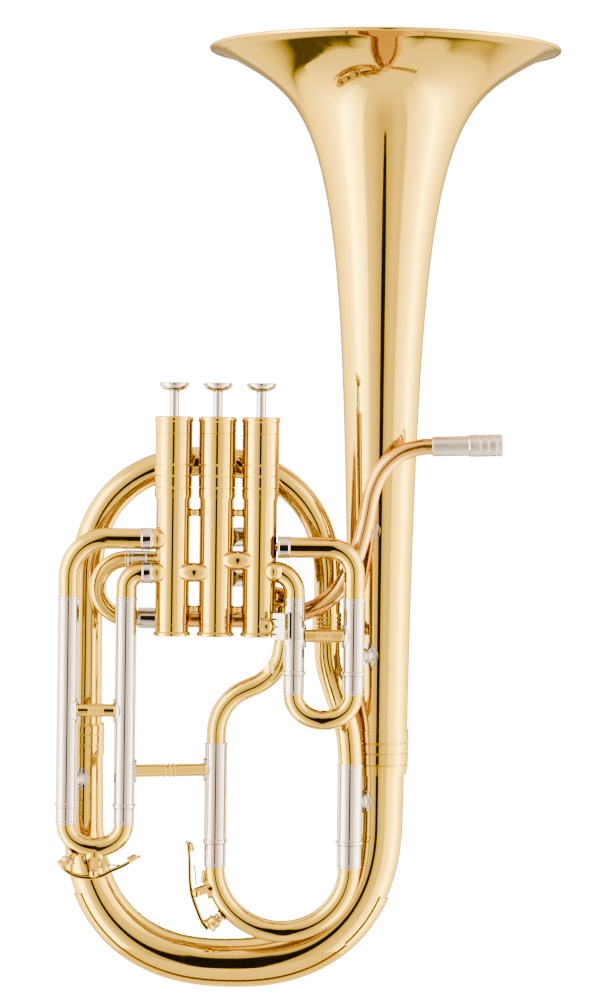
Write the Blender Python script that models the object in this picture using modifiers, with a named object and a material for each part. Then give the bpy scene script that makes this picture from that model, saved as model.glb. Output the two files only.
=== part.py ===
"""Alto horn (E flat tenor horn) standing bell up. Metres, +Z up, valves facing -Y.

The origin is on the bell's axis, at the lower edge of the ferrule between bell and bottom bow.
"""

import math

import bmesh
import bpy
from mathutils import Matrix, Vector

CLEARANCE = 0.0003
STEP = 0.00005
TUBE_SIDES = 10
WIDE_TUBE_SIDES = 12
BELL_STEPS = 28
TURNED_STEPS = 14
BUTTON_STEPS = 12

# Bell: a flare that falls off as a power of the distance below its rim
BELL_RIM_RADIUS = 0.1025
BELL_RIM_Z = 0.4223
BELL_THROAT_RADIUS = 0.0125
FLARE_DEPTH = 0.0325
FLARE_POWER = 1.12
BELL_WALL = 0.0008
RIM_WIRE_RADIUS = 0.0012
BELL_SEAM_Z = 0.003
BELL_FERRULE_HEIGHT = 0.0259
BELL_FERRULE_RINGS = (0.0187, 0.0062)
FERRULE_WALL = 0.0006

# Bottom bow: half a superellipse from the branch tube up to the bell
BOW_LEFT_X = -0.1698
BOW_STRAIGHT_Z = -0.025
BOW_DEPTH = 0.085
BOW_POWER = 2.36
BOW_SMALL_RADIUS = 0.0108
BOW_LARGE_RADIUS = 0.0160
BOW_WALL = 0.0009
GUARD_THICKNESS = 0.0009
GUARD_HALF_ANGLE = 50
GUARD_FACETS = 6
GUARD_START = 0.17
GUARD_END = 0.86

# Branch tube: from the main slide up round the valves and down to the bow
RING_Y = -0.008
RING_RIGHT_X = -0.0301
RING_ARCH_Z = 0.110
RING_ARCH_HEIGHT = 0.0706
RING_POWER = 2.3
RING_SMALL_RADIUS = 0.0072
RING_LARGE_RADIUS = 0.0100
BOW_SEAM_Z = 0.015
BOW_FERRULE_TOP = 0.0274
BOW_FERRULE_BOTTOM = 0.0054
BOW_FERRULE_RINGS = (0.0212, 0.0086)
RING_LOW_WAYPOINTS = (
    (-0.0171, -0.0238, 0.0237), (-0.0196, -0.0202, 0.0352), (-0.0247, -0.0137, 0.0496),
    (-0.0290, -0.0096, 0.0640), (RING_RIGHT_X, RING_Y, 0.0790),
)
RING_FERRULE_Z = 0.0885
RING_FERRULE_HEIGHT = 0.010

# Valves, numbered from the mouthpiece side
VALVE_COUNT = 3
VALVE_SPACING = 0.0248
VALVE_Y = -0.036
FIRST_VALVE_X = -0.0693
CASING_RADIUS = 0.0098
CASING_TOP_RADIUS = 0.0107
CASING_TOP_Z = 0.1970
CASING_STEP_Z = CASING_TOP_Z - 0.0374
CASING_BOTTOM_Z = 0.0878
CASING_BORE_RADIUS = 0.0084
CASING_GROOVES = (CASING_TOP_Z - 0.0181, CASING_TOP_Z - 0.0312)
CASING_GROOVE_DEPTH = 0.0004
TOP_CAP_HEIGHT = 0.0096
BOTTOM_CAP_HEIGHT = 0.0068
CAP_PLATE = 0.0022
CAP_FLANGE = 0.0011
STEM_RADIUS = 0.0028
PISTON_TOP_Z = CASING_TOP_Z - 0.0030
PISTON_BOTTOM_Z = 0.1080
PORT_RADIUS = 0.0042
BUTTON_RADIUS = 0.0084
BUTTON_Z = CASING_TOP_Z + 0.0242
BUTTON_HEIGHT = 0.0048
PEARL_RADIUS = 0.0066
PEARL_THICKNESS = 0.0012
SPRING_WIRE_RADIUS = 0.0005
SPRING_COIL_RADIUS = 0.0062
SPRING_TURNS = 4
PASSAGE_RADIUS = 0.0058
KNUCKLE_FORWARD = 0.0058
KNUCKLE_HALF_LENGTH = 0.0100
CROSSOVER_12_Z = 0.1248
CROSSOVER_23_Z = 0.1177
SPACER_RADIUS = 0.0026
SPACER_HEIGHTS = (0.0964, 0.1517)

# Slides: an inner U of tube in two outer sleeves
SLIDE_Y = -0.040
SLEEVE_RADIUS = 0.0064
SLEEVE_BORE_RADIUS = 0.0057
SLEEVE_BEAD = 0.0005
SLIDE_BOW_RADIUS = 0.0056
SLIDE_FERRULE_RADIUS = 0.0062
THIRD_VALVE_X = FIRST_VALVE_X - (VALVE_COUNT - 1) * VALVE_SPACING
THIRD_LEFT_X = THIRD_VALVE_X - 0.0587
THIRD_RIGHT_X = THIRD_VALVE_X - 0.0259
THIRD_SLEEVE_TOP = 0.1032
THIRD_SLEEVE_BOTTOM = -0.0158
THIRD_UPPER_Z = 0.1364
THIRD_UPPER_BEND = 0.022
THIRD_LOWER_Z = 0.1173
THIRD_LOWER_BEND = 0.0088
THIRD_BOW_DEPTH = 0.0131
FIRST_LEFT_X = FIRST_VALVE_X + 0.0203
FIRST_RIGHT_X = FIRST_VALVE_X + 0.0541
FIRST_SLEEVE_TOP = 0.1038
FIRST_SLEEVE_BOTTOM = 0.0595
FIRST_UPPER_Z = 0.1325
FIRST_UPPER_BEND = 0.0148
FIRST_LOWER_Z = 0.1186
FIRST_LOWER_BEND = 0.012
FIRST_BOW_DEPTH = 0.0143
SLIDE_FERRULE_LENGTH = 0.0109
VALVE_FERRULE_LENGTH = 0.0052
VALVE_FERRULE_GAP = 0.0010
SECOND_ANGLE = 35
SECOND_UPPER_Z = 0.1373
SECOND_LOWER_Z = 0.1142
SECOND_STUB = 0.0055
SECOND_SLEEVE_LENGTH = 0.0200
SECOND_SLEEVE_RADIUS = 0.0058
SECOND_BORE_RADIUS = 0.0051
SECOND_BOW_DEPTH = 0.0110
SECOND_FERRULE_LENGTH = 0.005
SECOND_BOW_RADIUS = 0.0050
LEG_SPARE = 0.006

# Main tuning slide
MAIN_Y = -0.0255
MAIN_LEFT_X = -0.0930
MAIN_RIGHT_X = -0.0160
MAIN_LEFT_TOP = 0.0193
MAIN_RIGHT_TOP = 0.0081
MAIN_SLEEVE_BOTTOM = -0.0386
MAIN_FERRULE_LENGTH = 0.0133
MAIN_BOW_DEPTH = 0.0367
FEED_RADIUS = 0.0056
FEED_ANGLE = 27.6
FEED_TOP_Z = 0.104
FEED_STUB = 0.0175
FEED_BEND = 0.0066
FEED_LOW_CORNERS = (
    (-0.0575, -0.0276, 0.0585, 0.012), (-0.0907, -0.0258, 0.0440, 0.014), (MAIN_LEFT_X, MAIN_Y, 0.026, 0.02)
)
MAIN_LEFT_SLEEVE_RADIUS = 0.0066
MAIN_RIGHT_SLEEVE_RADIUS = 0.0073
SLEEVE_WALL = 0.0007

# Mouthpiece receiver and leadpipe
LEADPIPE_Y = -0.027
LEADPIPE_RADIUS = 0.0048
LEADPIPE_END_RADIUS = 0.0054
LEADPIPE_WALL = 0.0006
LEADPIPE_BACK_Y = -0.0164
LEADPIPE_LOW_Z = 0.0900
LEADPIPE_END_X = THIRD_VALVE_X - 0.0100
LEADPIPE_WAYPOINTS = (
    (0.0219, LEADPIPE_Y, 0.1903), (0.0105, LEADPIPE_Y, 0.1864), (0.0003, LEADPIPE_Y, 0.1768),
    (-0.0056, LEADPIPE_Y, 0.1638), (-0.0090, LEADPIPE_Y, 0.1460), (-0.0140, -0.0260, 0.1275),
    (-0.0222, -0.0238, 0.1100), (-0.0318, -0.0214, 0.1006), (-0.0430, -0.0182, 0.0946),
    (-0.0550, LEADPIPE_BACK_Y, 0.0911), (-0.0680, LEADPIPE_BACK_Y, LEADPIPE_LOW_Z),
    (-0.0900, LEADPIPE_BACK_Y, LEADPIPE_LOW_Z),
)
RECEIVER_START = (0.0289, 0.1909)
RECEIVER_END = (0.0693, 0.1921)
RECEIVER_RADIUS = 0.0057
RECEIVER_RING_LENGTH = 0.0194
RECEIVER_RING_RADIUS = 0.0066
RECEIVER_GROOVES = (0.0050, 0.0100)
RECEIVER_BORE_RADIUS = 0.0049
RECEIVER_OVERLAP = 0.012
LOOP_RADIUS = 0.0049
LOOP_CENTRE_X = THIRD_VALVE_X - 0.0263
LOOP_COLLAR_LENGTH = 0.0077
LOOP_TOP_Z = 0.1243
LOOP_ENTRY_Y = -0.0308
LOOP_LEAN = 0.0035
LOOP_SLEEVE_RADIUS = 0.0061
LOOP_SLEEVE_LENGTH = 0.0103

# Braces, lyre socket and water keys
ROD_RADIUS = 0.0033
ROD_RING_RADIUS = 0.0038
ROD_RING_SPACING = 0.0028
NICKEL_ROD_RADIUS = 0.0026
FLANGE_HEIGHT = 0.0136
FLANGE_WIDTH = 0.0100
FLANGE_SUNK = 0.0030
FLANGE_THICKNESS = 0.0012
LEADPIPE_BRACE_Z = 0.1419
FIRST_BELL_BRACE_Z = 0.0700
MAIN_BOW_BRACE_Z = -0.0146
THIRD_BOW_BRACE_Z = -0.0030
THIRD_LEGS_BRACE_Z = 0.0384
FIRST_LEGS_BRACE_Z = 0.0823
LONG_BRACE_Z = 0.0040
LYRE_X = -0.0564
LYRE_Z = 0.0881
LYRE_SIZE = (0.0083, 0.0080, 0.0150)
LYRE_SLOT = (0.0050, 0.0050)
LYRE_SCREW_RADIUS = 0.0015
LYRE_HEAD_RADIUS = 0.0040
LYRE_HEAD_LENGTH = 0.0072
PIVOT_RADIUS = 0.0019
PIVOT_PIN_RADIUS = 0.0007
PIVOT_WIDTH = 0.0070
CHEEK_THICKNESS = 0.0012
LEVER_THICKNESS = 0.0018
LEVER_WIDTH = 0.0052
CUP_RADIUS = 0.0042
CUP_FLOOR = 0.0012
CORK_RADIUS = 0.0032
CORK_THICKNESS = 0.0028
NIPPLE_RADIUS = 0.0026
NIPPLE_LENGTH = 0.0036
THIRD_DRAIN_ANGLE = 55
THIRD_PIVOT_DROP = 0.0141
THIRD_LEVER = ((-0.0078, 0.0004), (-0.0006, -0.0023), (0.0072, -0.0017), (0.0246, 0.0078))
THIRD_SPRING = ((0.0023, 0.0026), (0.0052, 0.0037), (0.0092, 0.0043), (0.0132, 0.0041), (0.0146, 0.0043))
MAIN_DRAIN_ANGLE = 40
MAIN_SADDLE_ANGLE = 17
MAIN_PIVOT_REACH = 0.0122
MAIN_LEVER = ((0.0044, -0.0166), (-0.0013, -0.0026), (-0.0035, 0.0054), (-0.0039, 0.0164), (-0.0056, 0.0298))
MAIN_SPRING = ((-0.0006, 0.0034), (-0.0007, 0.0064), (-0.0012, 0.0109), (-0.0019, 0.0152))
KEY_SPRING_RADIUS = 0.0004

FINISHES = {
    "brass": ((0.80, 0.57, 0.22, 1.0), 0.12, 1.0),
    "nickel": ((0.78, 0.76, 0.72, 1.0), 0.14, 1.0),
    "rose_brass": ((0.78, 0.47, 0.30, 1.0), 0.14, 1.0),
    "pearl": ((0.92, 0.90, 0.86, 1.0), 0.20, 0.0),
    "cork": ((0.62, 0.42, 0.25, 1.0), 0.85, 0.0),
    "steel": ((0.60, 0.60, 0.62, 1.0), 0.25, 1.0),
}


def clear_scene():
    for thing in list(bpy.data.objects):
        bpy.data.objects.remove(thing, do_unlink=True)


def finish(name):
    """The Principled material of this name, made on first use."""
    if name in bpy.data.materials:
        return bpy.data.materials[name]
    colour, roughness, metallic = FINISHES[name]
    material = bpy.data.materials.new(name)
    material.use_nodes = True
    shader = material.node_tree.nodes["Principled BSDF"]
    shader.inputs["Base Color"].default_value = colour
    shader.inputs["Roughness"].default_value = roughness
    shader.inputs["Metallic"].default_value = metallic
    material.diffuse_color = colour
    return material


def collection(name):
    found = bpy.data.collections.get(name)
    if not found:
        found = bpy.data.collections.new(name)
        bpy.context.scene.collection.children.link(found)
    return found


def place(name, mesh, metal):
    """A mesh as an object: a sub-part when it has a finish, and a hidden cutter when it has none."""
    thing = bpy.data.objects.new(name, mesh)
    if metal:
        mesh.materials.clear()
        mesh.materials.append(finish(metal))
        mesh.shade_smooth()
        mesh.set_sharp_from_angle(angle=math.radians(35))
        collection("alto_horn").objects.link(thing)
    else:
        thing.hide_render = True
        thing.display_type = "WIRE"
        collection("cutters").objects.link(thing)
    return thing


def boolean(thing, operation, *others):
    for other in others:
        change = thing.modifiers.new(other.name, "BOOLEAN")
        change.operation = operation
        change.solver = "EXACT"
        change.object = other
    return thing


def cut(thing, *others):
    return boolean(thing, "DIFFERENCE", *others)


def join(thing, *others):
    return boolean(thing, "UNION", *others)


def set_origin(thing, point):
    """Puts an unturned piece's origin on its joint's axis without moving its shape."""
    point = Vector(point)
    thing.data.transform(Matrix.Translation(-point))
    thing.location = point
    return thing


def facing(direction):
    """The turn that takes +Z to a direction."""
    return Vector((0, 0, 1)).rotation_difference(Vector(direction).normalized()).to_matrix().to_4x4()


def cylinder(name, start, end, radius, sides=12, metal=None, end_radius=None, stretch=(1, 1, 1)):
    start, end = Vector(start), Vector(end)
    form = bmesh.new()
    bmesh.ops.create_cone(
        form, cap_ends=True, segments=sides, radius1=radius,
        radius2=radius if end_radius is None else end_radius, depth=(end - start).length,
    )
    middle = Matrix.Translation((start + end) / 2)
    bmesh.ops.transform(
        form, matrix=middle @ Matrix.Diagonal((*stretch, 1)) @ facing(end - start), verts=form.verts
    )
    mesh = bpy.data.meshes.new(name)
    form.to_mesh(mesh)
    form.free()
    return place(name, mesh, metal)


def block(name, centre, size, metal=None):
    form = bmesh.new()
    bmesh.ops.create_cube(form, size=1, matrix=Matrix.Translation(centre) @ Matrix.Diagonal((*size, 1)))
    mesh = bpy.data.meshes.new(name)
    form.to_mesh(mesh)
    form.free()
    return place(name, mesh, metal)


def turned(name, profile, spot, steps, metal, direction=(0, 0, 1)):
    """A closed profile of (radius, height) points, down its outer side first, turned about a direction."""
    mesh = bpy.data.meshes.new(name)
    count = len(profile)
    points = [(radius, 0, height) for radius, height in profile]
    closed = min(radius for radius, height in profile) > 0
    edges = [(i, (i + 1) % count) for i in range(count if closed else count - 1)]
    mesh.from_pydata(points, edges, [])
    thing = place(name, mesh, metal)
    thing.matrix_world = Matrix.Translation(spot) @ facing(direction)
    screw = thing.modifiers.new("turn", "SCREW")
    screw.steps = steps
    screw.render_steps = steps
    screw.use_merge_vertices = True
    screw.merge_threshold = 0.000001
    screw.use_smooth_shade = True
    return thing


def taper(points, start, end):
    """Radii that grow evenly along a route."""
    lengths = [0.0]
    for before, after in zip(points, points[1:]):
        lengths.append(lengths[-1] + (Vector(after) - Vector(before)).length)
    return [start + (end - start) * length / lengths[-1] for length in lengths]


def tube(name, points, radii, sides, metal, wall=0.0):
    """A round tube along a route, solid or with a wall and open ends."""
    curve = bpy.data.curves.new(name, "CURVE")
    curve.dimensions = "3D"
    curve.bevel_depth = 1.0
    curve.bevel_resolution = (sides - 4) // 2
    curve.use_fill_caps = not wall
    spline = curve.splines.new("POLY")
    spline.points.add(len(points) - 1)
    for knot, point, radius in zip(spline.points, points, radii):
        knot.co = (*point, 1.0)
        knot.radius = radius
    guide = bpy.data.objects.new(name + "_route", curve)
    bpy.context.scene.collection.objects.link(guide)
    view = bpy.context.evaluated_depsgraph_get()
    mesh = bpy.data.meshes.new_from_object(guide.evaluated_get(view), depsgraph=view)
    bpy.data.objects.remove(guide, do_unlink=True)
    form = bmesh.new()
    form.from_mesh(mesh)
    bmesh.ops.remove_doubles(form, verts=form.verts, dist=0.000001)
    bmesh.ops.recalc_face_normals(form, faces=form.faces)
    form.to_mesh(mesh)
    form.free()
    mesh.name = name
    thing = place(name, mesh, metal)
    if wall:
        shell = thing.modifiers.new("wall", "SOLIDIFY")
        shell.thickness = wall
        shell.offset = -1
        shell.use_even_offset = True
    return thing


def rounded(corners, turn=23):
    """A route through corners (x, y, z, bend radius), each corner an arc in steps of about turn degrees."""
    spots = [Vector(corner[:3]) for corner in corners]
    route = [spots[0]]
    for before, corner, after, data in zip(spots, spots[1:], spots[2:], corners[1:]):
        arriving = (corner - before).normalized()
        leaving = (after - corner).normalized()
        angle = arriving.angle(leaving)
        reach = data[3] * math.tan(angle / 2)
        axis = arriving.cross(leaving).normalized()
        start = corner - arriving * reach
        centre = start + axis.cross(arriving) * data[3]
        steps = max(2, math.ceil(math.degrees(angle) / turn))
        for i in range(steps + 1):
            route.append(centre + Matrix.Rotation(angle * i / steps, 3, axis) @ (start - centre))
    route.append(spots[-1])
    return route


def flowing(waypoints, steps):
    """A smooth route through waypoints, steps points to each stretch."""
    spots = [Vector(point) for point in waypoints]
    spots = [spots[0] * 2 - spots[1]] + spots + [spots[-1] * 2 - spots[-2]]
    route = []
    for a, b, c, d in zip(spots, spots[1:], spots[2:], spots[3:]):
        for i in range(steps):
            t = i / steps
            route.append(
                0.5 * (2 * b + (c - a) * t + (2 * a - 5 * b + 4 * c - d) * t * t
                       + (3 * b - a - 3 * c + d) * t ** 3)
            )
    route.append(spots[-2])
    return route


def arch(centre_x, centre_z, half_width, height, power, steps):
    """Half a superellipse in the XZ plane from left to right, up for a height above zero."""
    spots = []
    for i in range(steps + 1):
        angle = math.pi * (1 - i / steps)
        across = abs(math.cos(angle)) ** (2 / power) * math.copysign(1, math.cos(angle))
        up = abs(math.sin(angle)) ** (2 / power)
        spots.append((centre_x + half_width * across, centre_z + height * up))
    return spots


def bell_radius(z):
    """The bell's outer radius at a height; below the ferrule's top it narrows to the bow."""
    if z >= BELL_FERRULE_HEIGHT:
        depth = BELL_RIM_Z - z
        return BELL_THROAT_RADIUS + (BELL_RIM_RADIUS - BELL_THROAT_RADIUS) * (
            1 + depth / FLARE_DEPTH
        ) ** -FLARE_POWER
    share = z / BELL_FERRULE_HEIGHT
    return BOW_LARGE_RADIUS + (bell_radius(BELL_FERRULE_HEIGHT) - BOW_LARGE_RADIUS) * share


def make_bell():
    steps = 11
    tail = BELL_RIM_Z - BELL_FERRULE_HEIGHT
    heights = [BELL_RIM_Z - tail * (i / steps) ** 2.1 for i in range(steps + 1)] + [BELL_SEAM_Z + CLEARANCE]
    outer = [(bell_radius(z), z) for z in heights[1:]]
    inner = [(radius - BELL_WALL, z) for radius, z in outer]
    bead = RIM_WIRE_RADIUS
    rim = [
        (BELL_RIM_RADIUS - 2 * bead, BELL_RIM_Z),
        (BELL_RIM_RADIUS - bead * 0.5, BELL_RIM_Z),
        (BELL_RIM_RADIUS, BELL_RIM_Z - bead),
        (BELL_RIM_RADIUS - bead * 0.5, BELL_RIM_Z - 2 * bead),
    ]
    turned("bell", rim + outer + inner[::-1], (0, 0, 0), BELL_STEPS, "brass")
    top = bell_radius(BELL_FERRULE_HEIGHT) + CLEARANCE
    bottom = BOW_LARGE_RADIUS + CLEARANCE
    outside = top + FERRULE_WALL
    ring = outside + 0.0003
    profile = [(top, BELL_FERRULE_HEIGHT), (outside, BELL_FERRULE_HEIGHT)]
    for z in BELL_FERRULE_RINGS:
        profile += [(outside, z + 0.0006), (ring, z), (outside, z - 0.0006)]
    profile += [(outside, 0), (bottom, 0)]
    turned("bell_ferrule", profile, (0, 0, 0), 20, "brass")


def bow_route():
    """The bottom bow's centre line and radii, from its left end to the bell."""
    middle = BOW_LEFT_X / 2
    curve = arch(middle, BOW_STRAIGHT_Z, -middle, -BOW_DEPTH, BOW_POWER, 16)
    last = len(curve) - 1
    points = [(x, RING_Y * (1 - i / last), z) for i, (x, z) in enumerate(curve)]
    points = [(BOW_LEFT_X, RING_Y, BOW_SEAM_Z - CLEARANCE)] + points + [(0, 0, BELL_SEAM_Z)]
    radii = taper(points, BOW_SMALL_RADIUS, BOW_LARGE_RADIUS)
    radii[-2:] = [BOW_LARGE_RADIUS - 0.0001, BOW_LARGE_RADIUS]
    return points, radii


def make_bow():
    points, radii = bow_route()
    tube("bottom_bow", points, radii, WIDE_TUBE_SIDES, "brass", BOW_WALL)
    make_guard(points, radii)
    top = RING_LARGE_RADIUS + CLEARANCE
    bottom = BOW_SMALL_RADIUS + CLEARANCE * 1.5
    outside = bottom + FERRULE_WALL
    profile = [(top, BOW_FERRULE_TOP), (outside, BOW_FERRULE_TOP)]
    for z in BOW_FERRULE_RINGS:
        profile += [(outside, z + 0.0006), (outside + 0.0003, z), (outside, z - 0.0006)]
    profile += [
        (outside, BOW_FERRULE_BOTTOM), (bottom, BOW_FERRULE_BOTTOM), (bottom, BOW_SEAM_Z), (top, BOW_SEAM_Z)
    ]
    turned("bow_ferrule", profile, (BOW_LEFT_X, RING_Y, 0), TURNED_STEPS, "brass")


def make_guard(points, radii):
    """The strip along the outside of the bow: an arc of the tube's section swept along its route."""
    spots = [Vector(point) for point in points]
    first = round(GUARD_START * (len(spots) - 1))
    last = round(GUARD_END * (len(spots) - 1))
    half_angle = math.radians(GUARD_HALF_ANGLE)
    form = bmesh.new()
    rows = []
    for i in range(first, last + 1):
        along = (spots[i + 1] - spots[i - 1]).normalized()
        outward = Vector((0, 1, 0)).cross(along).normalized()
        side = outward.cross(along)
        row = []
        for j in range(GUARD_FACETS + 1):
            angle = half_angle * (2 * j / GUARD_FACETS - 1)
            radius = (radii[i] + CLEARANCE) / math.cos(half_angle / GUARD_FACETS)
            row.append(form.verts.new(spots[i] + (outward * math.cos(angle) + side * math.sin(angle)) * radius))
        rows.append(row)
    for low, high in zip(rows, rows[1:]):
        for a, b, c, d in zip(low, low[1:], high[1:], high):
            form.faces.new((a, d, c, b))
    mesh = bpy.data.meshes.new("bow_guard")
    form.to_mesh(mesh)
    form.free()
    guard = place("bow_guard", mesh, "brass")
    shell = guard.modifiers.new("thickness", "SOLIDIFY")
    shell.thickness = GUARD_THICKNESS
    shell.offset = 1


def ring_route():
    """The branch tube's centre line and radii, from the main slide to the bow."""
    low = [(MAIN_RIGHT_X, MAIN_Y, MAIN_RIGHT_TOP + 0.0030), *RING_LOW_WAYPOINTS]
    half = (RING_RIGHT_X - BOW_LEFT_X) / 2
    curve = arch(BOW_LEFT_X + half, RING_ARCH_Z, half, RING_ARCH_HEIGHT, RING_POWER, 16)[::-1]
    points = [(MAIN_RIGHT_X, MAIN_Y, MAIN_RIGHT_TOP + CLEARANCE)] + flowing(low, 2)
    points += [(x, RING_Y, z) for x, z in curve]
    points.append((BOW_LEFT_X, RING_Y, BOW_SEAM_Z))
    return points, taper(points, RING_SMALL_RADIUS, RING_LARGE_RADIUS)


def make_branch_tube():
    points, radii = ring_route()
    branch = tube("branch_tube", points, radii, WIDE_TUBE_SIDES, "brass")
    at = RING_FERRULE_Z
    radius = RING_SMALL_RADIUS + 0.0013
    half = RING_FERRULE_HEIGHT / 2
    ferrule = turned(
        "branch_ferrule_form",
        [(radius, half), (radius, -half), (radius - 0.0016, -half), (radius - 0.0016, half)],
        (RING_RIGHT_X, RING_Y, at), TURNED_STEPS, None,
    )
    join(branch, ferrule)


def valve_x(number):
    return FIRST_VALVE_X - (number - 1) * VALVE_SPACING


def casing_cutter(number):
    """The casing's outside plus the clearance that each tube's end keeps to it."""
    name = f"casing_space_{number}"
    if name in bpy.data.objects:
        return bpy.data.objects[name]
    x = valve_x(number)
    return cylinder(
        name, (x, VALVE_Y, CASING_BOTTOM_Z), (x, VALVE_Y, CASING_STEP_Z),
        (CASING_RADIUS + CLEARANCE) / math.cos(math.pi / 24), 24,
    )


def make_valve(number):
    x = valve_x(number)
    spot = (x, VALVE_Y, 0)
    outer = [(CASING_TOP_RADIUS, CASING_TOP_Z - CLEARANCE)]
    for z in CASING_GROOVES:
        outer += [
            (CASING_TOP_RADIUS, z + 0.0004),
            (CASING_TOP_RADIUS - CASING_GROOVE_DEPTH, z),
            (CASING_TOP_RADIUS, z - 0.0004),
        ]
    outer += [
        (CASING_TOP_RADIUS, CASING_STEP_Z),
        (CASING_RADIUS, CASING_STEP_Z),
        (CASING_RADIUS, CASING_BOTTOM_Z + CLEARANCE),
        (CASING_BORE_RADIUS, CASING_BOTTOM_Z + CLEARANCE),
        (CASING_BORE_RADIUS, CASING_TOP_Z - CLEARANCE),
    ]
    casing = turned(f"valve_casing_{number}", outer, spot, TURNED_STEPS, "brass")
    if number == 2:
        for i, z in enumerate(SPACER_HEIGHTS):
            reach = VALVE_SPACING - CASING_RADIUS - CLEARANCE
            for side in (-1, 1):
                start = (x + side * (CASING_BORE_RADIUS + 0.0008), VALVE_Y, z)
                end = (x + side * reach, VALVE_Y, z)
                spacer = cylinder(f"spacer_{i}_{side}", start, end, SPACER_RADIUS, 10)
                neighbour = casing_cutter(number - side)
                join(casing, cut(spacer, neighbour))
    cap_top = CASING_TOP_Z + TOP_CAP_HEIGHT
    hole = STEM_RADIUS + CLEARANCE
    turned(f"top_cap_{number}", [
        (CASING_TOP_RADIUS - 0.0012, cap_top),
        (CASING_TOP_RADIUS, cap_top - 0.0010),
        (CASING_TOP_RADIUS, CASING_TOP_Z),
        (CASING_BORE_RADIUS, CASING_TOP_Z),
        (CASING_BORE_RADIUS, cap_top - CAP_PLATE),
        (hole, cap_top - CAP_PLATE),
        (hole, cap_top),
    ], spot, TURNED_STEPS, "brass")
    base = CASING_BOTTOM_Z - BOTTOM_CAP_HEIGHT
    turned(f"bottom_cap_{number}", [
        (CASING_RADIUS, CASING_BOTTOM_Z),
        (CASING_RADIUS, base + 0.0018),
        (CASING_RADIUS + CAP_FLANGE, base + 0.0014),
        (CASING_RADIUS + CAP_FLANGE, base + 0.0005),
        (CASING_RADIUS, base),
        (0.0015, base),
        (0.0015, base + CAP_PLATE),
        (CASING_BORE_RADIUS - 0.0010, base + CAP_PLATE),
        (CASING_BORE_RADIUS - 0.0010, CASING_BOTTOM_Z),
    ], spot, TURNED_STEPS, "brass")
    make_piston(number, spot)


def make_piston(number, spot):
    """Piston, its stem and button with a pearl inlay, and the spring under it."""
    x = spot[0]
    rest = (x, VALVE_Y, PISTON_TOP_Z)
    piston = cylinder(
        f"piston_{number}", (x, VALVE_Y, PISTON_BOTTOM_Z), (x, VALVE_Y, PISTON_TOP_Z),
        CASING_BORE_RADIUS - CLEARANCE, TURNED_STEPS, "nickel",
    )
    for i, (z, turn) in enumerate(((CROSSOVER_23_Z, 0), (CROSSOVER_12_Z + 0.007, 60), (0.150, 120))):
        way = Vector((math.cos(math.radians(turn)), math.sin(math.radians(turn)), 0)) * 0.012
        middle = Vector((x, VALVE_Y, z))
        cut(piston, cylinder(f"port_{number}_{i}", middle - way, middle + way, PORT_RADIUS, 8))
    set_origin(piston, rest)
    button_top = BUTTON_Z + BUTTON_HEIGHT
    seat = button_top - PEARL_THICKNESS - 0.0006
    stem = turned(f"stem_{number}", [
        (0, seat),
        (PEARL_RADIUS + CLEARANCE, seat),
        (PEARL_RADIUS + CLEARANCE, button_top - 0.0006),
        (BUTTON_RADIUS - 0.0010, button_top),
        (BUTTON_RADIUS, button_top - 0.0010),
        (BUTTON_RADIUS - 0.0008, BUTTON_Z + 0.0018),
        (STEM_RADIUS + 0.0012, BUTTON_Z + 0.0004),
        (STEM_RADIUS, BUTTON_Z),
        (STEM_RADIUS, PISTON_TOP_Z + CLEARANCE),
        (0, PISTON_TOP_Z + CLEARANCE),
    ], spot, BUTTON_STEPS, "nickel")
    pearl = turned(f"pearl_{number}", [
        (0, button_top - 0.0004),
        (PEARL_RADIUS * 0.7, button_top - 0.0005),
        (PEARL_RADIUS, button_top - 0.0009),
        (PEARL_RADIUS, seat + CLEARANCE),
        (0, seat + CLEARANCE),
    ], spot, BUTTON_STEPS, "pearl")
    for thing in (stem, pearl):
        thing.data.transform(Matrix.Translation((0, 0, -PISTON_TOP_Z)))
        thing.location = rest
    floor = CASING_BOTTOM_Z - BOTTOM_CAP_HEIGHT + CAP_PLATE + SPRING_WIRE_RADIUS + CLEARANCE
    ceiling = PISTON_BOTTOM_Z - SPRING_WIRE_RADIUS - CLEARANCE
    coil = []
    for i in range(SPRING_TURNS * 6 + 1):
        angle = i * math.pi / 3
        z = floor + (ceiling - floor) * i / (SPRING_TURNS * 6)
        out = Vector((math.cos(angle), math.sin(angle), 0)) * SPRING_COIL_RADIUS
        coil.append(Vector((x, VALVE_Y, z)) + out)
    tube(f"valve_spring_{number}", coil, [SPRING_WIRE_RADIUS] * len(coil), 4, "steel")


def make_crossovers():
    """The oval knuckles between neighbouring valves, let into both casings."""
    y = VALVE_Y - KNUCKLE_FORWARD
    steps = 10
    angles = [math.pi * (0.5 - i / steps) for i in range(steps + 1)]
    egg = [(PASSAGE_RADIUS * math.cos(angle), KNUCKLE_HALF_LENGTH * math.sin(angle)) for angle in angles]
    egg[0] = (0, KNUCKLE_HALF_LENGTH)
    egg[-1] = (0, -KNUCKLE_HALF_LENGTH)
    for low, high, z in ((1, 2, CROSSOVER_12_Z), (2, 3, CROSSOVER_23_Z)):
        middle = ((valve_x(low) + valve_x(high)) / 2, y, z)
        knuckle = turned(f"crossover_{low}{high}", egg, middle, TURNED_STEPS, "brass", (1, 0, 0))
        cut(knuckle, casing_cutter(low), casing_cutter(high))


def stepped(start, end, bands):
    """Points and radii along a straight stretch for bands of (distance from start, radius)."""
    start, end = Vector(start), Vector(end)
    way = (end - start).normalized()
    length = (end - start).length
    points, radii = [], []
    for before, after in zip(bands, bands[1:] + [(length, bands[-1][1])]):
        points += [start + way * (before[0] + STEP), start + way * (after[0] - STEP)]
        radii += [before[1], before[1]]
    return points, radii


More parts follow.
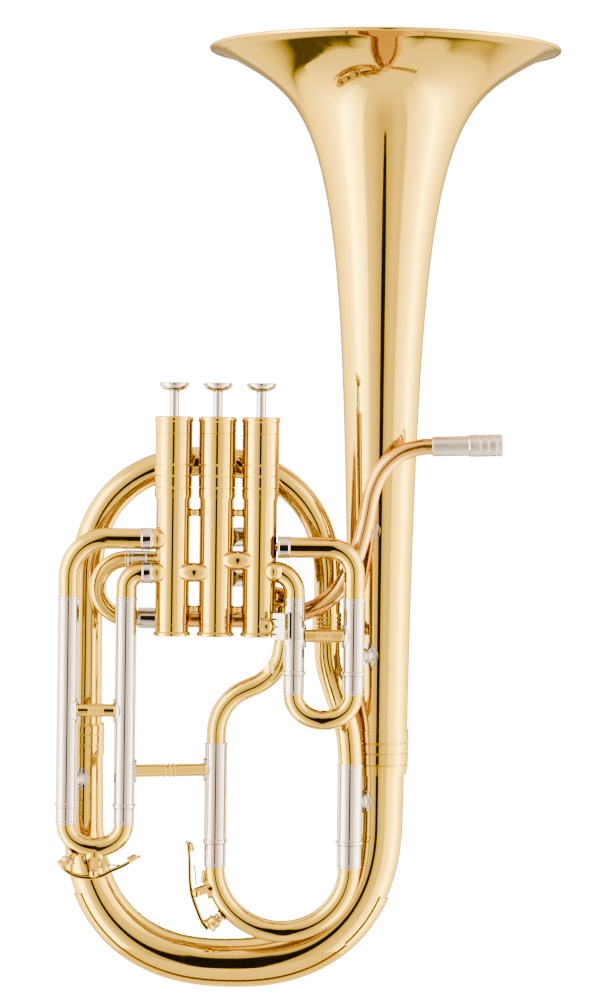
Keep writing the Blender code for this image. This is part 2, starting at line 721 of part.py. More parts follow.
def outer_tube(name, route, route_radius, sleeve_end, sleeve_radius, bore, ferrule=None, caps=()):
    """A branch tube that runs into the sleeve of a slide, bored out for the sliding leg."""
    top = Vector(route[-1])
    end = Vector(sleeve_end)
    length = (end - top).length
    ring = sleeve_radius + SLEEVE_BEAD
    bands = [(0, ring), (0.0014, sleeve_radius), (length - 0.0016, ring)]
    points, radii = stepped(top, end, bands)
    start_points, start_radii = list(route), [route_radius] * len(route)
    if ferrule:
        near, far = ferrule
        start, way = Vector(route[0]), (Vector(route[1]) - Vector(route[0])).normalized()
        collar = [start + way * near, start + way * (near + STEP * 2), start + way * far,
                  start + way * (far + STEP * 2)]
        start_points[1:1] = collar
        start_radii[1:1] = [route_radius, route_radius + SLEEVE_BEAD, route_radius + SLEEVE_BEAD, route_radius]
    thing = tube(name, start_points + points, start_radii + radii, TUBE_SIDES, "brass")
    way = (end - top).normalized()
    bore_form = cylinder(name + "_bore", top + way * 0.002, end + way * 0.002, bore, TUBE_SIDES)
    cut(thing, bore_form, *caps)
    thing.data.materials.append(finish("nickel"))
    half = (top + end) / 2
    for face in thing.data.polygons:
        if (face.center - half).dot(way) > -length / 2 - STEP:
            if (face.center - half - way * (face.center - half).dot(way)).length < 2 * sleeve_radius:
                face.material_index = 1
    return thing


def slide_route(centre, along, across, half, top, ferrule, depth, radii):
    """A U of tube: legs in at a distance top behind the arc's centre, ferrules, and the bow."""
    centre, along, across = Vector(centre), Vector(along), Vector(across)
    leg, collar, bow = radii
    points, sizes = [], []
    down, down_radii = stepped(
        centre - across * half - along * top, centre - across * half, [(0, leg), (top - ferrule, collar)]
    )
    points += down
    sizes += down_radii
    steps = 9
    for i in range(steps + 1):
        angle = math.pi * i / steps
        points.append(centre - across * (half * math.cos(angle)) + along * (depth * math.sin(angle)))
        sizes.append(bow)
    up, up_radii = stepped(
        centre + across * half, centre + across * half - along * top, [(0, collar), (ferrule, leg)]
    )
    return points + up, sizes + up_radii


def make_slide(name, centre, along, across, half, top, ferrule, depth, radii):
    points, sizes = slide_route(centre, along, across, half, top, ferrule, depth, radii)
    slide = tube(name, points, sizes, TUBE_SIDES, "brass")
    slide.data.materials.append(finish("nickel"))
    for face in slide.data.polygons:
        if (face.center - Vector(centre)).dot(Vector(along)) < -STEP:
            face.material_index = 1
    return slide


def make_third_slide():
    y = SLIDE_Y
    x = valve_x(3)
    caps = [casing_cutter(3)]
    route = rounded([
        (x, y, THIRD_UPPER_Z, 0), (THIRD_LEFT_X, y, THIRD_UPPER_Z, THIRD_UPPER_BEND),
        (THIRD_LEFT_X, y, THIRD_SLEEVE_TOP, 0),
    ])
    near = CASING_RADIUS + VALVE_FERRULE_GAP
    collar = (near, near + VALVE_FERRULE_LENGTH)
    bottom = THIRD_SLEEVE_BOTTOM + CLEARANCE
    outer_tube("third_outer_upper", route, PASSAGE_RADIUS, (THIRD_LEFT_X, y, bottom),
               SLEEVE_RADIUS, SLEEVE_BORE_RADIUS, collar, caps)
    route = rounded([
        (x, y, THIRD_LOWER_Z, 0), (THIRD_RIGHT_X, y, THIRD_LOWER_Z, THIRD_LOWER_BEND),
        (THIRD_RIGHT_X, y, THIRD_SLEEVE_TOP, 0),
    ])
    outer_tube("third_outer_lower", route, PASSAGE_RADIUS - 0.0002, (THIRD_RIGHT_X, y, bottom),
               SLEEVE_RADIUS, SLEEVE_BORE_RADIUS, collar, caps)
    middle = (THIRD_LEFT_X + THIRD_RIGHT_X) / 2
    centre_z = THIRD_SLEEVE_BOTTOM - SLIDE_FERRULE_LENGTH
    return make_slide(
        "third_slide", (middle, y, centre_z), (0, 0, -1), (1, 0, 0), (THIRD_RIGHT_X - THIRD_LEFT_X) / 2,
        THIRD_SLEEVE_TOP - LEG_SPARE - centre_z, SLIDE_FERRULE_LENGTH, THIRD_BOW_DEPTH,
        (SLEEVE_BORE_RADIUS - CLEARANCE, SLIDE_FERRULE_RADIUS, SLIDE_BOW_RADIUS),
    )


def make_first_slide():
    y = SLIDE_Y
    x = valve_x(1)
    caps = [casing_cutter(1)]
    near = CASING_RADIUS + VALVE_FERRULE_GAP
    collar = (near, near + VALVE_FERRULE_LENGTH)
    bottom = FIRST_SLEEVE_BOTTOM + CLEARANCE
    route = rounded([
        (x, y, FIRST_UPPER_Z, 0), (FIRST_RIGHT_X, y, FIRST_UPPER_Z, FIRST_UPPER_BEND),
        (FIRST_RIGHT_X, y, FIRST_SLEEVE_TOP, 0),
    ])
    outer_tube("first_outer_upper", route, PASSAGE_RADIUS, (FIRST_RIGHT_X, y, bottom),
               SLEEVE_RADIUS, SLEEVE_BORE_RADIUS, collar, caps)
    route = rounded([
        (x, y, FIRST_LOWER_Z, 0), (FIRST_LEFT_X, y, FIRST_LOWER_Z, FIRST_LOWER_BEND),
        (FIRST_LEFT_X, y, FIRST_SLEEVE_TOP, 0),
    ])
    outer_tube("first_outer_lower", route, PASSAGE_RADIUS, (FIRST_LEFT_X, y, bottom),
               SLEEVE_RADIUS, SLEEVE_BORE_RADIUS, None, caps)
    middle = (FIRST_LEFT_X + FIRST_RIGHT_X) / 2
    centre_z = FIRST_SLEEVE_BOTTOM - SLIDE_FERRULE_LENGTH
    slide = make_slide(
        "first_slide", (middle, y, centre_z), (0, 0, -1), (1, 0, 0), (FIRST_RIGHT_X - FIRST_LEFT_X) / 2,
        FIRST_SLEEVE_TOP - LEG_SPARE - centre_z, SLIDE_FERRULE_LENGTH, FIRST_BOW_DEPTH,
        (SLEEVE_BORE_RADIUS - CLEARANCE, SLIDE_FERRULE_RADIUS, SLIDE_BOW_RADIUS),
    )
    set_origin(slide, (middle, y, centre_z))


def make_second_slide():
    """The short slide that leaves the back of the middle valve."""
    way = Vector((math.sin(math.radians(SECOND_ANGLE)), math.cos(math.radians(SECOND_ANGLE)), 0))
    start = Vector((valve_x(2), VALVE_Y, 0))
    begin = CASING_RADIUS + SECOND_STUB
    end = begin + SECOND_SLEEVE_LENGTH
    for name, z in (("second_outer_upper", SECOND_UPPER_Z), ("second_outer_lower", SECOND_LOWER_Z)):
        up = Vector((0, 0, z))
        outer_tube(name, [start + up, start + up + way * begin], SECOND_BOW_RADIUS,
                   start + up + way * (end - CLEARANCE), SECOND_SLEEVE_RADIUS, SECOND_BORE_RADIUS,
                   None, [casing_cutter(2)])
    half = (SECOND_UPPER_Z - SECOND_LOWER_Z) / 2
    centre = start + way * (end + SECOND_FERRULE_LENGTH) + Vector((0, 0, SECOND_LOWER_Z + half))
    slide = make_slide(
        "second_slide", centre, way, (0, 0, -1), half,
        SECOND_SLEEVE_LENGTH + SECOND_FERRULE_LENGTH - 0.004, SECOND_FERRULE_LENGTH, SECOND_BOW_DEPTH,
        (SECOND_BORE_RADIUS - CLEARANCE, SECOND_SLEEVE_RADIUS - 0.0002, SECOND_BOW_RADIUS),
    )
    set_origin(slide, centre)


def main_sleeve(name, x, top, radius):
    """A plain outer sleeve of the main slide, with a ring at its top and a bead at its foot."""
    bottom = MAIN_SLEEVE_BOTTOM + CLEARANCE
    ring = radius + SLEEVE_BEAD
    bore = radius - SLEEVE_WALL
    turned(name, [
        (radius, top), (ring, top - 0.0006), (ring, top - 0.0018), (radius, top - 0.0022),
        (radius, bottom + 0.0020), (ring, bottom + 0.0016), (ring, bottom), (bore, bottom), (bore, top),
    ], (x, MAIN_Y, 0), TURNED_STEPS, "nickel")
    return bore


def make_main_slide():
    left_bore = main_sleeve("main_sleeve_left", MAIN_LEFT_X, MAIN_LEFT_TOP, MAIN_LEFT_SLEEVE_RADIUS)
    right_bore = main_sleeve("main_sleeve_right", MAIN_RIGHT_X, MAIN_RIGHT_TOP, MAIN_RIGHT_SLEEVE_RADIUS)
    middle = (MAIN_LEFT_X + MAIN_RIGHT_X) / 2
    half = (MAIN_RIGHT_X - MAIN_LEFT_X) / 2
    centre_z = MAIN_SLEEVE_BOTTOM - MAIN_FERRULE_LENGTH
    points, sizes = [], []
    for x, top, bore, sleeve in (
        (MAIN_LEFT_X, MAIN_LEFT_TOP, left_bore, MAIN_LEFT_SLEEVE_RADIUS),
        (MAIN_RIGHT_X, MAIN_RIGHT_TOP, right_bore, MAIN_RIGHT_SLEEVE_RADIUS),
    ):
        height = top - LEG_SPARE - centre_z
        leg_points, leg_radii = stepped(
            (x, MAIN_Y, centre_z + height), (x, MAIN_Y, centre_z),
            [(0, bore - CLEARANCE), (height - MAIN_FERRULE_LENGTH, sleeve - 0.0002)],
        )
        points.append(leg_points)
        sizes.append(leg_radii)
    bow, bow_radii = [], []
    small, large = left_bore - CLEARANCE, right_bore - CLEARANCE
    steps = 12
    for i in range(steps + 1):
        angle = math.pi * i / steps
        z = centre_z - MAIN_BOW_DEPTH * math.sin(angle)
        bow.append(Vector((middle - half * math.cos(angle), MAIN_Y, z)))
        bow_radii.append(small + (large - small) * i / steps)
    radii = sizes[0] + bow_radii + sizes[1][::-1]
    slide = tube("main_slide", points[0] + bow + points[1][::-1], radii, TUBE_SIDES, "brass")
    slide.data.materials.append(finish("nickel"))
    for face in slide.data.polygons:
        if face.center.z > centre_z + STEP:
            face.material_index = 1
    return slide


def make_feed_tube():
    """From the back of the first valve down to the main slide's left sleeve."""
    x = valve_x(1)
    angle = math.radians(FEED_ANGLE)
    top = Vector((x, VALVE_Y, FEED_TOP_Z))
    elbow = top + Vector((math.cos(angle), math.sin(angle), 0)) * FEED_STUB
    route = rounded([
        (*top, 0), (*elbow, FEED_BEND), (elbow.x - 0.0004, elbow.y, 0.083, 0.03), *FEED_LOW_CORNERS,
        (MAIN_LEFT_X, MAIN_Y, MAIN_LEFT_TOP + CLEARANCE, 0),
    ])
    feed = tube("feed_tube", route, [FEED_RADIUS] * len(route), TUBE_SIDES, "brass")
    cut(feed, casing_cutter(1))


def make_leadpipe():
    x0, z0 = RECEIVER_START
    x1, z1 = RECEIVER_END
    start, end = Vector((x0, LEADPIPE_Y, z0)), Vector((x1, LEADPIPE_Y, z1))
    way = (end - start).normalized()
    length = (end - start).length
    ring = RECEIVER_RING_RADIUS
    body = RECEIVER_RADIUS
    groove = ring - 0.0004
    profile = [(ring - 0.0005, length), (ring, length - 0.0006)]
    for back in RECEIVER_GROOVES:
        profile += [(ring, length - back + 0.0005), (groove, length - back), (ring, length - back - 0.0005)]
    seat = LEADPIPE_RADIUS + CLEARANCE
    profile += [
        (ring, length - RECEIVER_RING_LENGTH), (body, length - RECEIVER_RING_LENGTH - 0.0006), (body, 0),
        (seat, 0), (seat, RECEIVER_OVERLAP), (RECEIVER_BORE_RADIUS - 0.0008, RECEIVER_OVERLAP + 0.0002),
        (RECEIVER_BORE_RADIUS, length),
    ]
    turned("mouthpiece_receiver", profile, start, 16, "nickel", way)
    inside = start + way * (RECEIVER_OVERLAP - CLEARANCE)
    back, low = LEADPIPE_BACK_Y, LEADPIPE_LOW_Z
    route = [inside] + flowing([start, *LEADPIPE_WAYPOINTS], 2) + [(LEADPIPE_END_X + CLEARANCE, back, low)]
    radii = taper(route, LEADPIPE_RADIUS, LEADPIPE_END_RADIUS)
    pipe = tube("leadpipe", route, radii, TUBE_SIDES, "rose_brass")
    cut(pipe, cylinder("leadpipe_bore", inside + way * 0.001, start - way * 0.002,
                       LEADPIPE_RADIUS - LEADPIPE_WALL, TUBE_SIDES))
    make_leadpipe_loop()


def make_leadpipe_loop():
    """From the leadpipe's end round to the back of the third valve, with its two nickel ferrules."""
    back, low, high = LEADPIPE_BACK_Y, LEADPIPE_LOW_Z, LOOP_TOP_Z
    radius = (high - low) / 2
    half_way = Vector((LOOP_CENTRE_X, 0, low + radius))
    sleeve_end = LEADPIPE_END_X - LOOP_SLEEVE_LENGTH
    points, sizes = stepped((LEADPIPE_END_X, back, low), (sleeve_end, back, low), [(0, LOOP_SLEEVE_RADIUS)])
    steps = 12
    top_y = LOOP_ENTRY_Y + LOOP_LEAN
    for i in range(steps + 1):
        angle = math.pi * i / steps
        share = (1 - math.cos(angle)) / 2
        points.append(half_way + Vector((-radius * math.sin(angle), back + (top_y - back) * share,
                                         -radius * math.cos(angle))))
        sizes.append(LOOP_RADIUS)
    collar_start = Vector((LOOP_CENTRE_X + 0.0005, top_y - 0.0004, high))
    collar_end = Vector((LOOP_CENTRE_X + LOOP_COLLAR_LENGTH, LOOP_ENTRY_Y + 0.0012, high))
    collar = stepped(collar_start, collar_end, [(0, LOOP_RADIUS + SLEEVE_BEAD)])
    points += collar[0] + [collar_end + Vector((0.0005, -0.0002, 0)), Vector((valve_x(3), LOOP_ENTRY_Y, high))]
    sizes += collar[1] + [LOOP_RADIUS, LOOP_RADIUS]
    loop = tube("leadpipe_loop", points, sizes, TUBE_SIDES, "brass")
    cut(loop, casing_cutter(3))
    loop.data.materials.append(finish("nickel"))
    for face in loop.data.polygons:
        if face.center.x > sleeve_end + STEP and face.center.z < low + radius:
            face.material_index = 1


def space(name, centre, way, radius, sides=12):
    """A long cutter for the place of a tube, with the clearance round it."""
    centre, way = Vector(centre), Vector(way).normalized() * 0.03
    fitted = (radius + CLEARANCE) / math.cos(math.pi / sides)
    return cylinder(name, centre - way, centre + way, fitted, sides)


def brace(name, start, end, spaces, flanges, rings=(), metal="brass", rod=ROD_RADIUS):
    """A rod between two tubes with oval flanges seated on them; flanges are (place, depth) pairs."""
    start, end = Vector(start), Vector(end)
    way = (end - start).normalized()
    bands = [(0, rod)]
    for middle, width in rings:
        bands += [(middle - width / 2, ROD_RING_RADIUS), (middle + width / 2, rod)]
    points, radii = stepped(start, end, bands)
    thing = tube(name, points, radii, 8, metal)
    for i, spot in enumerate(flanges):
        spot = Vector(spot)
        flange = cylinder(
            f"{name}_flange_{i}", spot - way * FLANGE_SUNK, spot + way * FLANGE_SUNK, FLANGE_WIDTH / 2, 12,
            stretch=(1, 1, FLANGE_HEIGHT / FLANGE_WIDTH),
        )
        join(thing, flange)
    cut(thing, *spaces)
    return thing


def leg_space(name, x, y, z, radius):
    return space(name, (x, y, z), (0, 0, 1), radius)


def make_braces():
    left = leg_space("third_left_space", THIRD_LEFT_X, SLIDE_Y, THIRD_LEGS_BRACE_Z, SLEEVE_RADIUS)
    right = leg_space("third_right_space", THIRD_RIGHT_X, SLIDE_Y, THIRD_LEGS_BRACE_Z, SLEEVE_RADIUS)
    z = THIRD_LEGS_BRACE_Z
    gap = THIRD_RIGHT_X - THIRD_LEFT_X
    reach = SLEEVE_RADIUS + CLEARANCE + FLANGE_THICKNESS - FLANGE_SUNK
    brace("third_legs_brace", (THIRD_LEFT_X, SLIDE_Y, z), (THIRD_RIGHT_X, SLIDE_Y, z), [left, right],
          [(THIRD_LEFT_X + reach, SLIDE_Y, z), (THIRD_RIGHT_X - reach, SLIDE_Y, z)],
          [(gap / 2 - ROD_RING_SPACING, 0.0014), (gap / 2, 0.0022), (gap / 2 + ROD_RING_SPACING, 0.0014)])
    left = leg_space("first_left_space", FIRST_LEFT_X, SLIDE_Y, FIRST_LEGS_BRACE_Z, SLEEVE_RADIUS)
    right = leg_space("first_right_space", FIRST_RIGHT_X, SLIDE_Y, FIRST_LEGS_BRACE_Z, SLEEVE_RADIUS)
    z = FIRST_LEGS_BRACE_Z
    gap = FIRST_RIGHT_X - FIRST_LEFT_X
    brace("first_legs_brace", (FIRST_LEFT_X, SLIDE_Y, z), (FIRST_RIGHT_X, SLIDE_Y, z), [left, right],
          [(FIRST_LEFT_X + reach, SLIDE_Y, z), (FIRST_RIGHT_X - reach, SLIDE_Y, z)],
          [(gap / 2 - ROD_RING_SPACING, 0.0014), (gap / 2, 0.0022), (gap / 2 + ROD_RING_SPACING, 0.0014)])
    z = LONG_BRACE_Z
    start = Vector((THIRD_RIGHT_X, SLIDE_Y, z))
    end = Vector((MAIN_LEFT_X, MAIN_Y, z))
    way = (end - start).normalized()
    near = leg_space("third_long_space", THIRD_RIGHT_X, SLIDE_Y, z, SLEEVE_RADIUS)
    far = leg_space("main_long_space", MAIN_LEFT_X, MAIN_Y, z, MAIN_LEFT_SLEEVE_RADIUS)
    reach_far = MAIN_LEFT_SLEEVE_RADIUS + CLEARANCE + FLANGE_THICKNESS - FLANGE_SUNK
    middle = (end - start).length * 0.45
    brace("long_brace", start, end, [near, far], [start + way * reach, end - way * reach_far],
          [(middle - 0.0050, 0.0024), (middle, 0.0040), (middle + 0.0050, 0.0024)])
    bell_side_brace("first_bell_brace", FIRST_RIGHT_X, SLIDE_Y, SLEEVE_RADIUS, FIRST_BELL_BRACE_Z)
    bell_side_brace("main_bow_brace", MAIN_RIGHT_X, MAIN_Y, MAIN_RIGHT_SLEEVE_RADIUS, MAIN_BOW_BRACE_Z)
    z = THIRD_BOW_BRACE_Z
    start = Vector((THIRD_LEFT_X, SLIDE_Y, z))
    end = Vector((BOW_LEFT_X, RING_Y, z))
    way = (end - start).normalized()
    near = leg_space("third_bow_space", THIRD_LEFT_X, SLIDE_Y, z, SLEEVE_RADIUS)
    radius = BOW_SMALL_RADIUS + 0.0001
    far = leg_space("bow_tube_space", BOW_LEFT_X, RING_Y, z, radius)
    reach_far = radius + CLEARANCE + FLANGE_THICKNESS - FLANGE_SUNK
    brace("third_bow_brace", start, end, [near, far], [start + way * reach, end - way * reach_far], (), "nickel",
          NICKEL_ROD_RADIUS)
    make_leadpipe_brace()


def bell_side_brace(name, x, y, radius, z):
    """A short nickel brace from a sleeve to the bell or the bow's right leg, on a line to its axis."""
    start, end = Vector((x, y, z)), Vector((0, 0, z))
    way = (end - start).normalized()
    carrier = bell_radius(z) if z > 0 else BOW_LARGE_RADIUS
    near = leg_space(name + "_sleeve_space", x, y, z, radius)
    far = bell_space(name + "_bell_space", z) if z > 0 else leg_space(name + "_bow_space", 0, 0, z, carrier)
    reach = radius + CLEARANCE + FLANGE_THICKNESS - FLANGE_SUNK
    carrier_reach = carrier + CLEARANCE + FLANGE_THICKNESS - FLANGE_SUNK
    brace(name, start, end, [near, far], [start + way * reach, end - way * carrier_reach], (), "nickel",
          NICKEL_ROD_RADIUS)


def bell_space(name, z):
    """The bell's own taper near a height, grown by the clearance."""
    steps = 36
    grow = CLEARANCE * 1.5
    low, high = z - 0.012, z + 0.012
    return cylinder(name, (0, 0, low), (0, 0, high), (bell_radius(low) + grow), steps, None,
                    bell_radius(high) + grow)


def make_leadpipe_brace():
    z = LEADPIPE_BRACE_Z
    pipe = Vector((-0.0098, LEADPIPE_Y + 0.0002, z))
    bell = Vector((0, 0, z))
    way = (bell - pipe).normalized()
    near = space("leadpipe_space", pipe, (-0.0035, 0.0004, -0.0185), LEADPIPE_RADIUS + 0.0004)
    far = bell_space("leadpipe_bell_space", z)
    surface = bell_radius(z) + CLEARANCE + FLANGE_THICKNESS
    brace("leadpipe_brace", pipe, bell, [near, far], [bell - way * (surface - FLANGE_SUNK)], (), "nickel",
          NICKEL_ROD_RADIUS)


def make_lyre_socket():
    """The square socket for a music lyre on the first slide's left sleeve, and its thumb screw."""
    y = SLIDE_Y - SLEEVE_RADIUS - CLEARANCE - FLANGE_THICKNESS - LYRE_SIZE[1] / 2 + 0.0006
    centre = (LYRE_X, y, LYRE_Z)
    socket = block("lyre_socket", centre, LYRE_SIZE, "nickel")
    foot = Vector((FIRST_LEFT_X - 0.0030, SLIDE_Y - SLEEVE_RADIUS + 0.0002, LYRE_Z))
    flange = cylinder("lyre_flange", foot - Vector((0, 0.0018, 0)), foot + Vector((0, 0.004, 0)),
                      FLANGE_WIDTH / 2, 12, stretch=(1, 1, FLANGE_HEIGHT / FLANGE_WIDTH))
    sleeve = leg_space("lyre_sleeve_space", FIRST_LEFT_X, SLIDE_Y, LYRE_Z, SLEEVE_RADIUS)
    slot = block("lyre_slot", (LYRE_X, y - 0.0004, LYRE_Z), (LYRE_SLOT[0], LYRE_SLOT[1], LYRE_SIZE[2] + 0.004))
    hole_end = LYRE_X - LYRE_SIZE[0] / 2 - 0.002
    hole = cylinder("lyre_hole", (LYRE_X, y - 0.0004, LYRE_Z), (hole_end, y - 0.0004, LYRE_Z),
                    LYRE_SCREW_RADIUS + CLEARANCE, 10)
    join(socket, flange)
    cut(socket, sleeve, slot, hole)
    face = LYRE_SIZE[0] / 2 + CLEARANCE
    head = LYRE_HEAD_LENGTH
    tip = LYRE_SLOT[0] / 2 + CLEARANCE
    screw = turned("lyre_screw", [
        (0, face + head), (LYRE_HEAD_RADIUS - 0.0008, face + head), (LYRE_HEAD_RADIUS, face + head - 0.0008),
        (LYRE_HEAD_RADIUS, face + head * 0.45), (LYRE_HEAD_RADIUS * 0.55, face + head * 0.40),
        (LYRE_HEAD_RADIUS * 0.55, face), (LYRE_SCREW_RADIUS, face), (LYRE_SCREW_RADIUS, tip), (0, tip),
    ], (LYRE_X, y - 0.0004, LYRE_Z), 12, "brass", (-1, 0, 0))
    return screw


def bow_spot(centre, half, depth, degrees):
    """A point on a slide bow's centre line and the way out from it, by its angle from the left leg."""
    angle = math.radians(degrees)
    centre = Vector(centre)
    spot = centre - Vector((half * math.cos(angle), 0, depth * math.sin(angle)))
    return spot, -Vector((math.cos(angle) / half, 0, math.sin(angle) / depth)).normalized()


def water_key(name, slide, bow_radius, drain, saddle, pivot, lever):
    """A lever on a saddle on a slide's bow, with a corked cup over the drain nipple.

    Drain is a point of the bow's centre line and the way out there; the lever is its middle line,
    which starts under the cup.
    """
    spot, outward = drain
    pivot = Vector(pivot)
    half = PIVOT_WIDTH / 2
    side = Vector((0, 1, 0))
    for i in (-1, 1):
        outer = side * i * (half + CLEARANCE + CHEEK_THICKNESS / 2)
        past = (pivot - saddle).normalized() * PIVOT_RADIUS
        cheek = cylinder(f"{name}_cheek_{i}", saddle + outer, pivot + past + outer, PIVOT_RADIUS, 8,
                         stretch=(1, CHEEK_THICKNESS / PIVOT_RADIUS / 2, 1))
        join(slide, cheek)
    bar = side * (half + CLEARANCE + CHEEK_THICKNESS)
    join(slide, cylinder(f"{name}_pin", pivot - bar, pivot + bar, PIVOT_PIN_RADIUS, 8))
    nipple_end = spot + outward * (bow_radius + NIPPLE_LENGTH)
    join(slide, cylinder(f"{name}_nipple", spot + outward * bow_radius / 2, nipple_end, NIPPLE_RADIUS, 10))
    cork_face = nipple_end + outward * CLEARANCE
    cork_back = cork_face + outward * CORK_THICKNESS
    dish_front = cork_back - outward * CORK_THICKNESS * 0.4
    dish_back = cork_back + outward * (CLEARANCE + CUP_FLOOR)
    arm_line = [dish_back - outward * LEVER_THICKNESS / 3] + [Vector(point) for point in lever]
    arm = tube(name, arm_line, [LEVER_THICKNESS / 2] * len(arm_line), 6, "brass")
    middle = Matrix.Translation(pivot)
    arm.data.transform(middle @ Matrix.Diagonal((1, LEVER_WIDTH / LEVER_THICKNESS, 1, 1)) @ middle.inverted())
    barrel = cylinder(f"{name}_barrel", pivot - side * half, pivot + side * half, PIVOT_RADIUS, 10)
    dish = cylinder(f"{name}_dish", dish_front, dish_back, CUP_RADIUS, 12)
    join(arm, barrel, dish)
    recess = cylinder(f"{name}_recess", dish_front - outward * CUP_FLOOR, cork_back + outward * CLEARANCE,
                      CORK_RADIUS + CLEARANCE, 12)
    pin_hole = cylinder(f"{name}_pin_hole", pivot - bar, pivot + bar, PIVOT_PIN_RADIUS + CLEARANCE, 8)
    cut(arm, recess, pin_hole)
    set_origin(arm, pivot)
    cork = cylinder(name + "_cork", cork_face, cork_back, CORK_RADIUS, 12, "cork")
    set_origin(cork, pivot)


def key_spring(name, pivot, line):
    """The wire that holds a water key shut; it lies between the lever and the slide."""
    points = flowing([pivot + Vector((x, 0, z)) for x, z in line], 2)
    set_origin(tube(name, points, [KEY_SPRING_RADIUS] * len(points), 6, "steel"), pivot)


def make_water_keys(third_slide, main_slide):
    y = SLIDE_Y
    half = (THIRD_RIGHT_X - THIRD_LEFT_X) / 2
    centre = (THIRD_LEFT_X + half, y, THIRD_SLEEVE_BOTTOM - SLIDE_FERRULE_LENGTH)
    saddle, down = bow_spot(centre, half, THIRD_BOW_DEPTH, 90)
    pivot = saddle + down * THIRD_PIVOT_DROP
    water_key("third_water_key", third_slide, SLIDE_BOW_RADIUS,
              bow_spot(centre, half, THIRD_BOW_DEPTH, THIRD_DRAIN_ANGLE), saddle, pivot,
              [pivot + Vector((x, 0, z)) for x, z in THIRD_LEVER])
    key_spring("third_key_spring", pivot, THIRD_SPRING)
    set_origin(third_slide, centre)
    y = MAIN_Y
    half = (MAIN_RIGHT_X - MAIN_LEFT_X) / 2
    centre = (MAIN_LEFT_X + half, y, MAIN_SLEEVE_BOTTOM - MAIN_FERRULE_LENGTH)
    saddle, out = bow_spot(centre, half, MAIN_BOW_DEPTH, MAIN_SADDLE_ANGLE)
    pivot = saddle + out * MAIN_PIVOT_REACH
    water_key("main_water_key", main_slide, MAIN_LEFT_SLEEVE_RADIUS - SLEEVE_WALL,
              bow_spot(centre, half, MAIN_BOW_DEPTH, MAIN_DRAIN_ANGLE), saddle, pivot,
              [pivot + Vector((x, 0, z)) for x, z in MAIN_LEVER])
    key_spring("main_key_spring", pivot, MAIN_SPRING)
    set_origin(main_slide, centre)


def main():
    clear_scene()
    make_bell()
    make_bow()
    make_branch_tube()
    for number in range(1, VALVE_COUNT + 1):
        make_valve(number)
    make_crossovers()
    third_slide = make_third_slide()
    make_first_slide()
    make_second_slide()
    main_slide = make_main_slide()
    make_feed_tube()
    make_leadpipe()
    make_braces()
    make_lyre_socket()
    make_water_keys(third_slide, main_slide)


main()
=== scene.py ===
"""Looks of the alto horn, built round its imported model.

Lengths here are in millimetres and become metres where a shape is made; only the floor, the camera and the
distances in the finishes are in metres. +Z is up the bell, -Y is the side of the valves, and the origin is on
the bell's axis at the foot of its ferrule.
"""

import math

import bpy
from mathutils import Matrix, Vector


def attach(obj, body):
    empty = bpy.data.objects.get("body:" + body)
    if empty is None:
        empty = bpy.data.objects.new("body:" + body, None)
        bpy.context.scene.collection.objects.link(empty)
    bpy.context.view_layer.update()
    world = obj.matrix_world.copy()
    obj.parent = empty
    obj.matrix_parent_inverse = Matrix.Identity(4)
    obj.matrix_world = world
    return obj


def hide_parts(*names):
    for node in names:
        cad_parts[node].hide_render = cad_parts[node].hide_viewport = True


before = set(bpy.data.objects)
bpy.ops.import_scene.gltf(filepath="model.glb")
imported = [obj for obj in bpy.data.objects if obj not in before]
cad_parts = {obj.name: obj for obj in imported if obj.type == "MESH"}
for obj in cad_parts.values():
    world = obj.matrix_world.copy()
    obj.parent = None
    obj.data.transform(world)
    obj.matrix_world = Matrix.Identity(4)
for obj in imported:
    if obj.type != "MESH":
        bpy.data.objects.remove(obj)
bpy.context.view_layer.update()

MM = 0.001
# Points closer than a seam become one; the usual rounding of an edge
SEAM, EDGE = 0.004, 0.12
# Degrees between faces from which an edge is shaded sharp, and from which it is rounded
SHARP, ROUNDED_FROM = 32, 40
# Sides of round pieces
TUBE_SIDES, SMALL_SIDES, WIDE_SIDES, BELL_SIDES, PIN_SIDES, WIRE_SIDES = 48, 32, 72, 160, 16, 12

# Heights and places that several pieces share
RIM_Z, RIM_RADIUS, THROAT_RADIUS = 422.3, 102.5, 12.5
FERRULE_TOP = 25.9
BOW_X, BOW_Z, BOW_DEPTH, BOW_POWER = -169.8, -25.0, 85.0, 2.36
RING_Y, RING_X, RING_Z, RING_HEIGHT, RING_POWER = -8.0, -30.1, 110.0, 70.6, 2.3
VALVE_Y, FIRST_VALVE_X, VALVE_SPACING = -36.0, -69.3, 24.8
CASING_RADIUS, CASING_TOP_RADIUS, CASING_BORE = 9.8, 10.7, 8.4
CASING_TOP, CASING_STEP, CASING_FOOT = 197.0, 159.6, 87.8
SLIDE_Y = -40.0
THIRD_X, FIRST_X = (-177.6, -144.8), (-49.0, -15.2)
THIRD_FOOT, THIRD_DEPTH = -15.8, 13.1
VALVE_FERRULE, VALVE_BOW_RADIUS, BRANCH_RADIUS = 10.9, 5.65, 6.05
SLEEVE_RADIUS, SLEEVE_BORE = 6.15, 5.6
# How far below a sleeve's top the leg inside it ends
LEG_GAP = 6.0
MAIN_Y, MAIN_X, MAIN_TOPS, MAIN_RADII = -25.5, (-93.0, -16.0), (19.3, 8.1), (6.6, 7.3)
MAIN_FOOT, MAIN_FERRULE, MAIN_DEPTH = -38.6, 13.3, 36.7
UP, RIGHT, FRONT = Vector((0, 0, 1)), Vector((1, 0, 0)), Vector((0, -1, 0))


# Modelling

def activate(piece):
    """Selects one piece alone."""
    bpy.ops.object.select_all(action="DESELECT")
    piece.select_set(True)
    bpy.context.view_layer.objects.active = piece


def opened(piece):
    """Opens a piece in edit mode with all of it selected."""
    activate(piece)
    bpy.ops.object.mode_set(mode="EDIT")
    bpy.ops.mesh.select_all(action="SELECT")


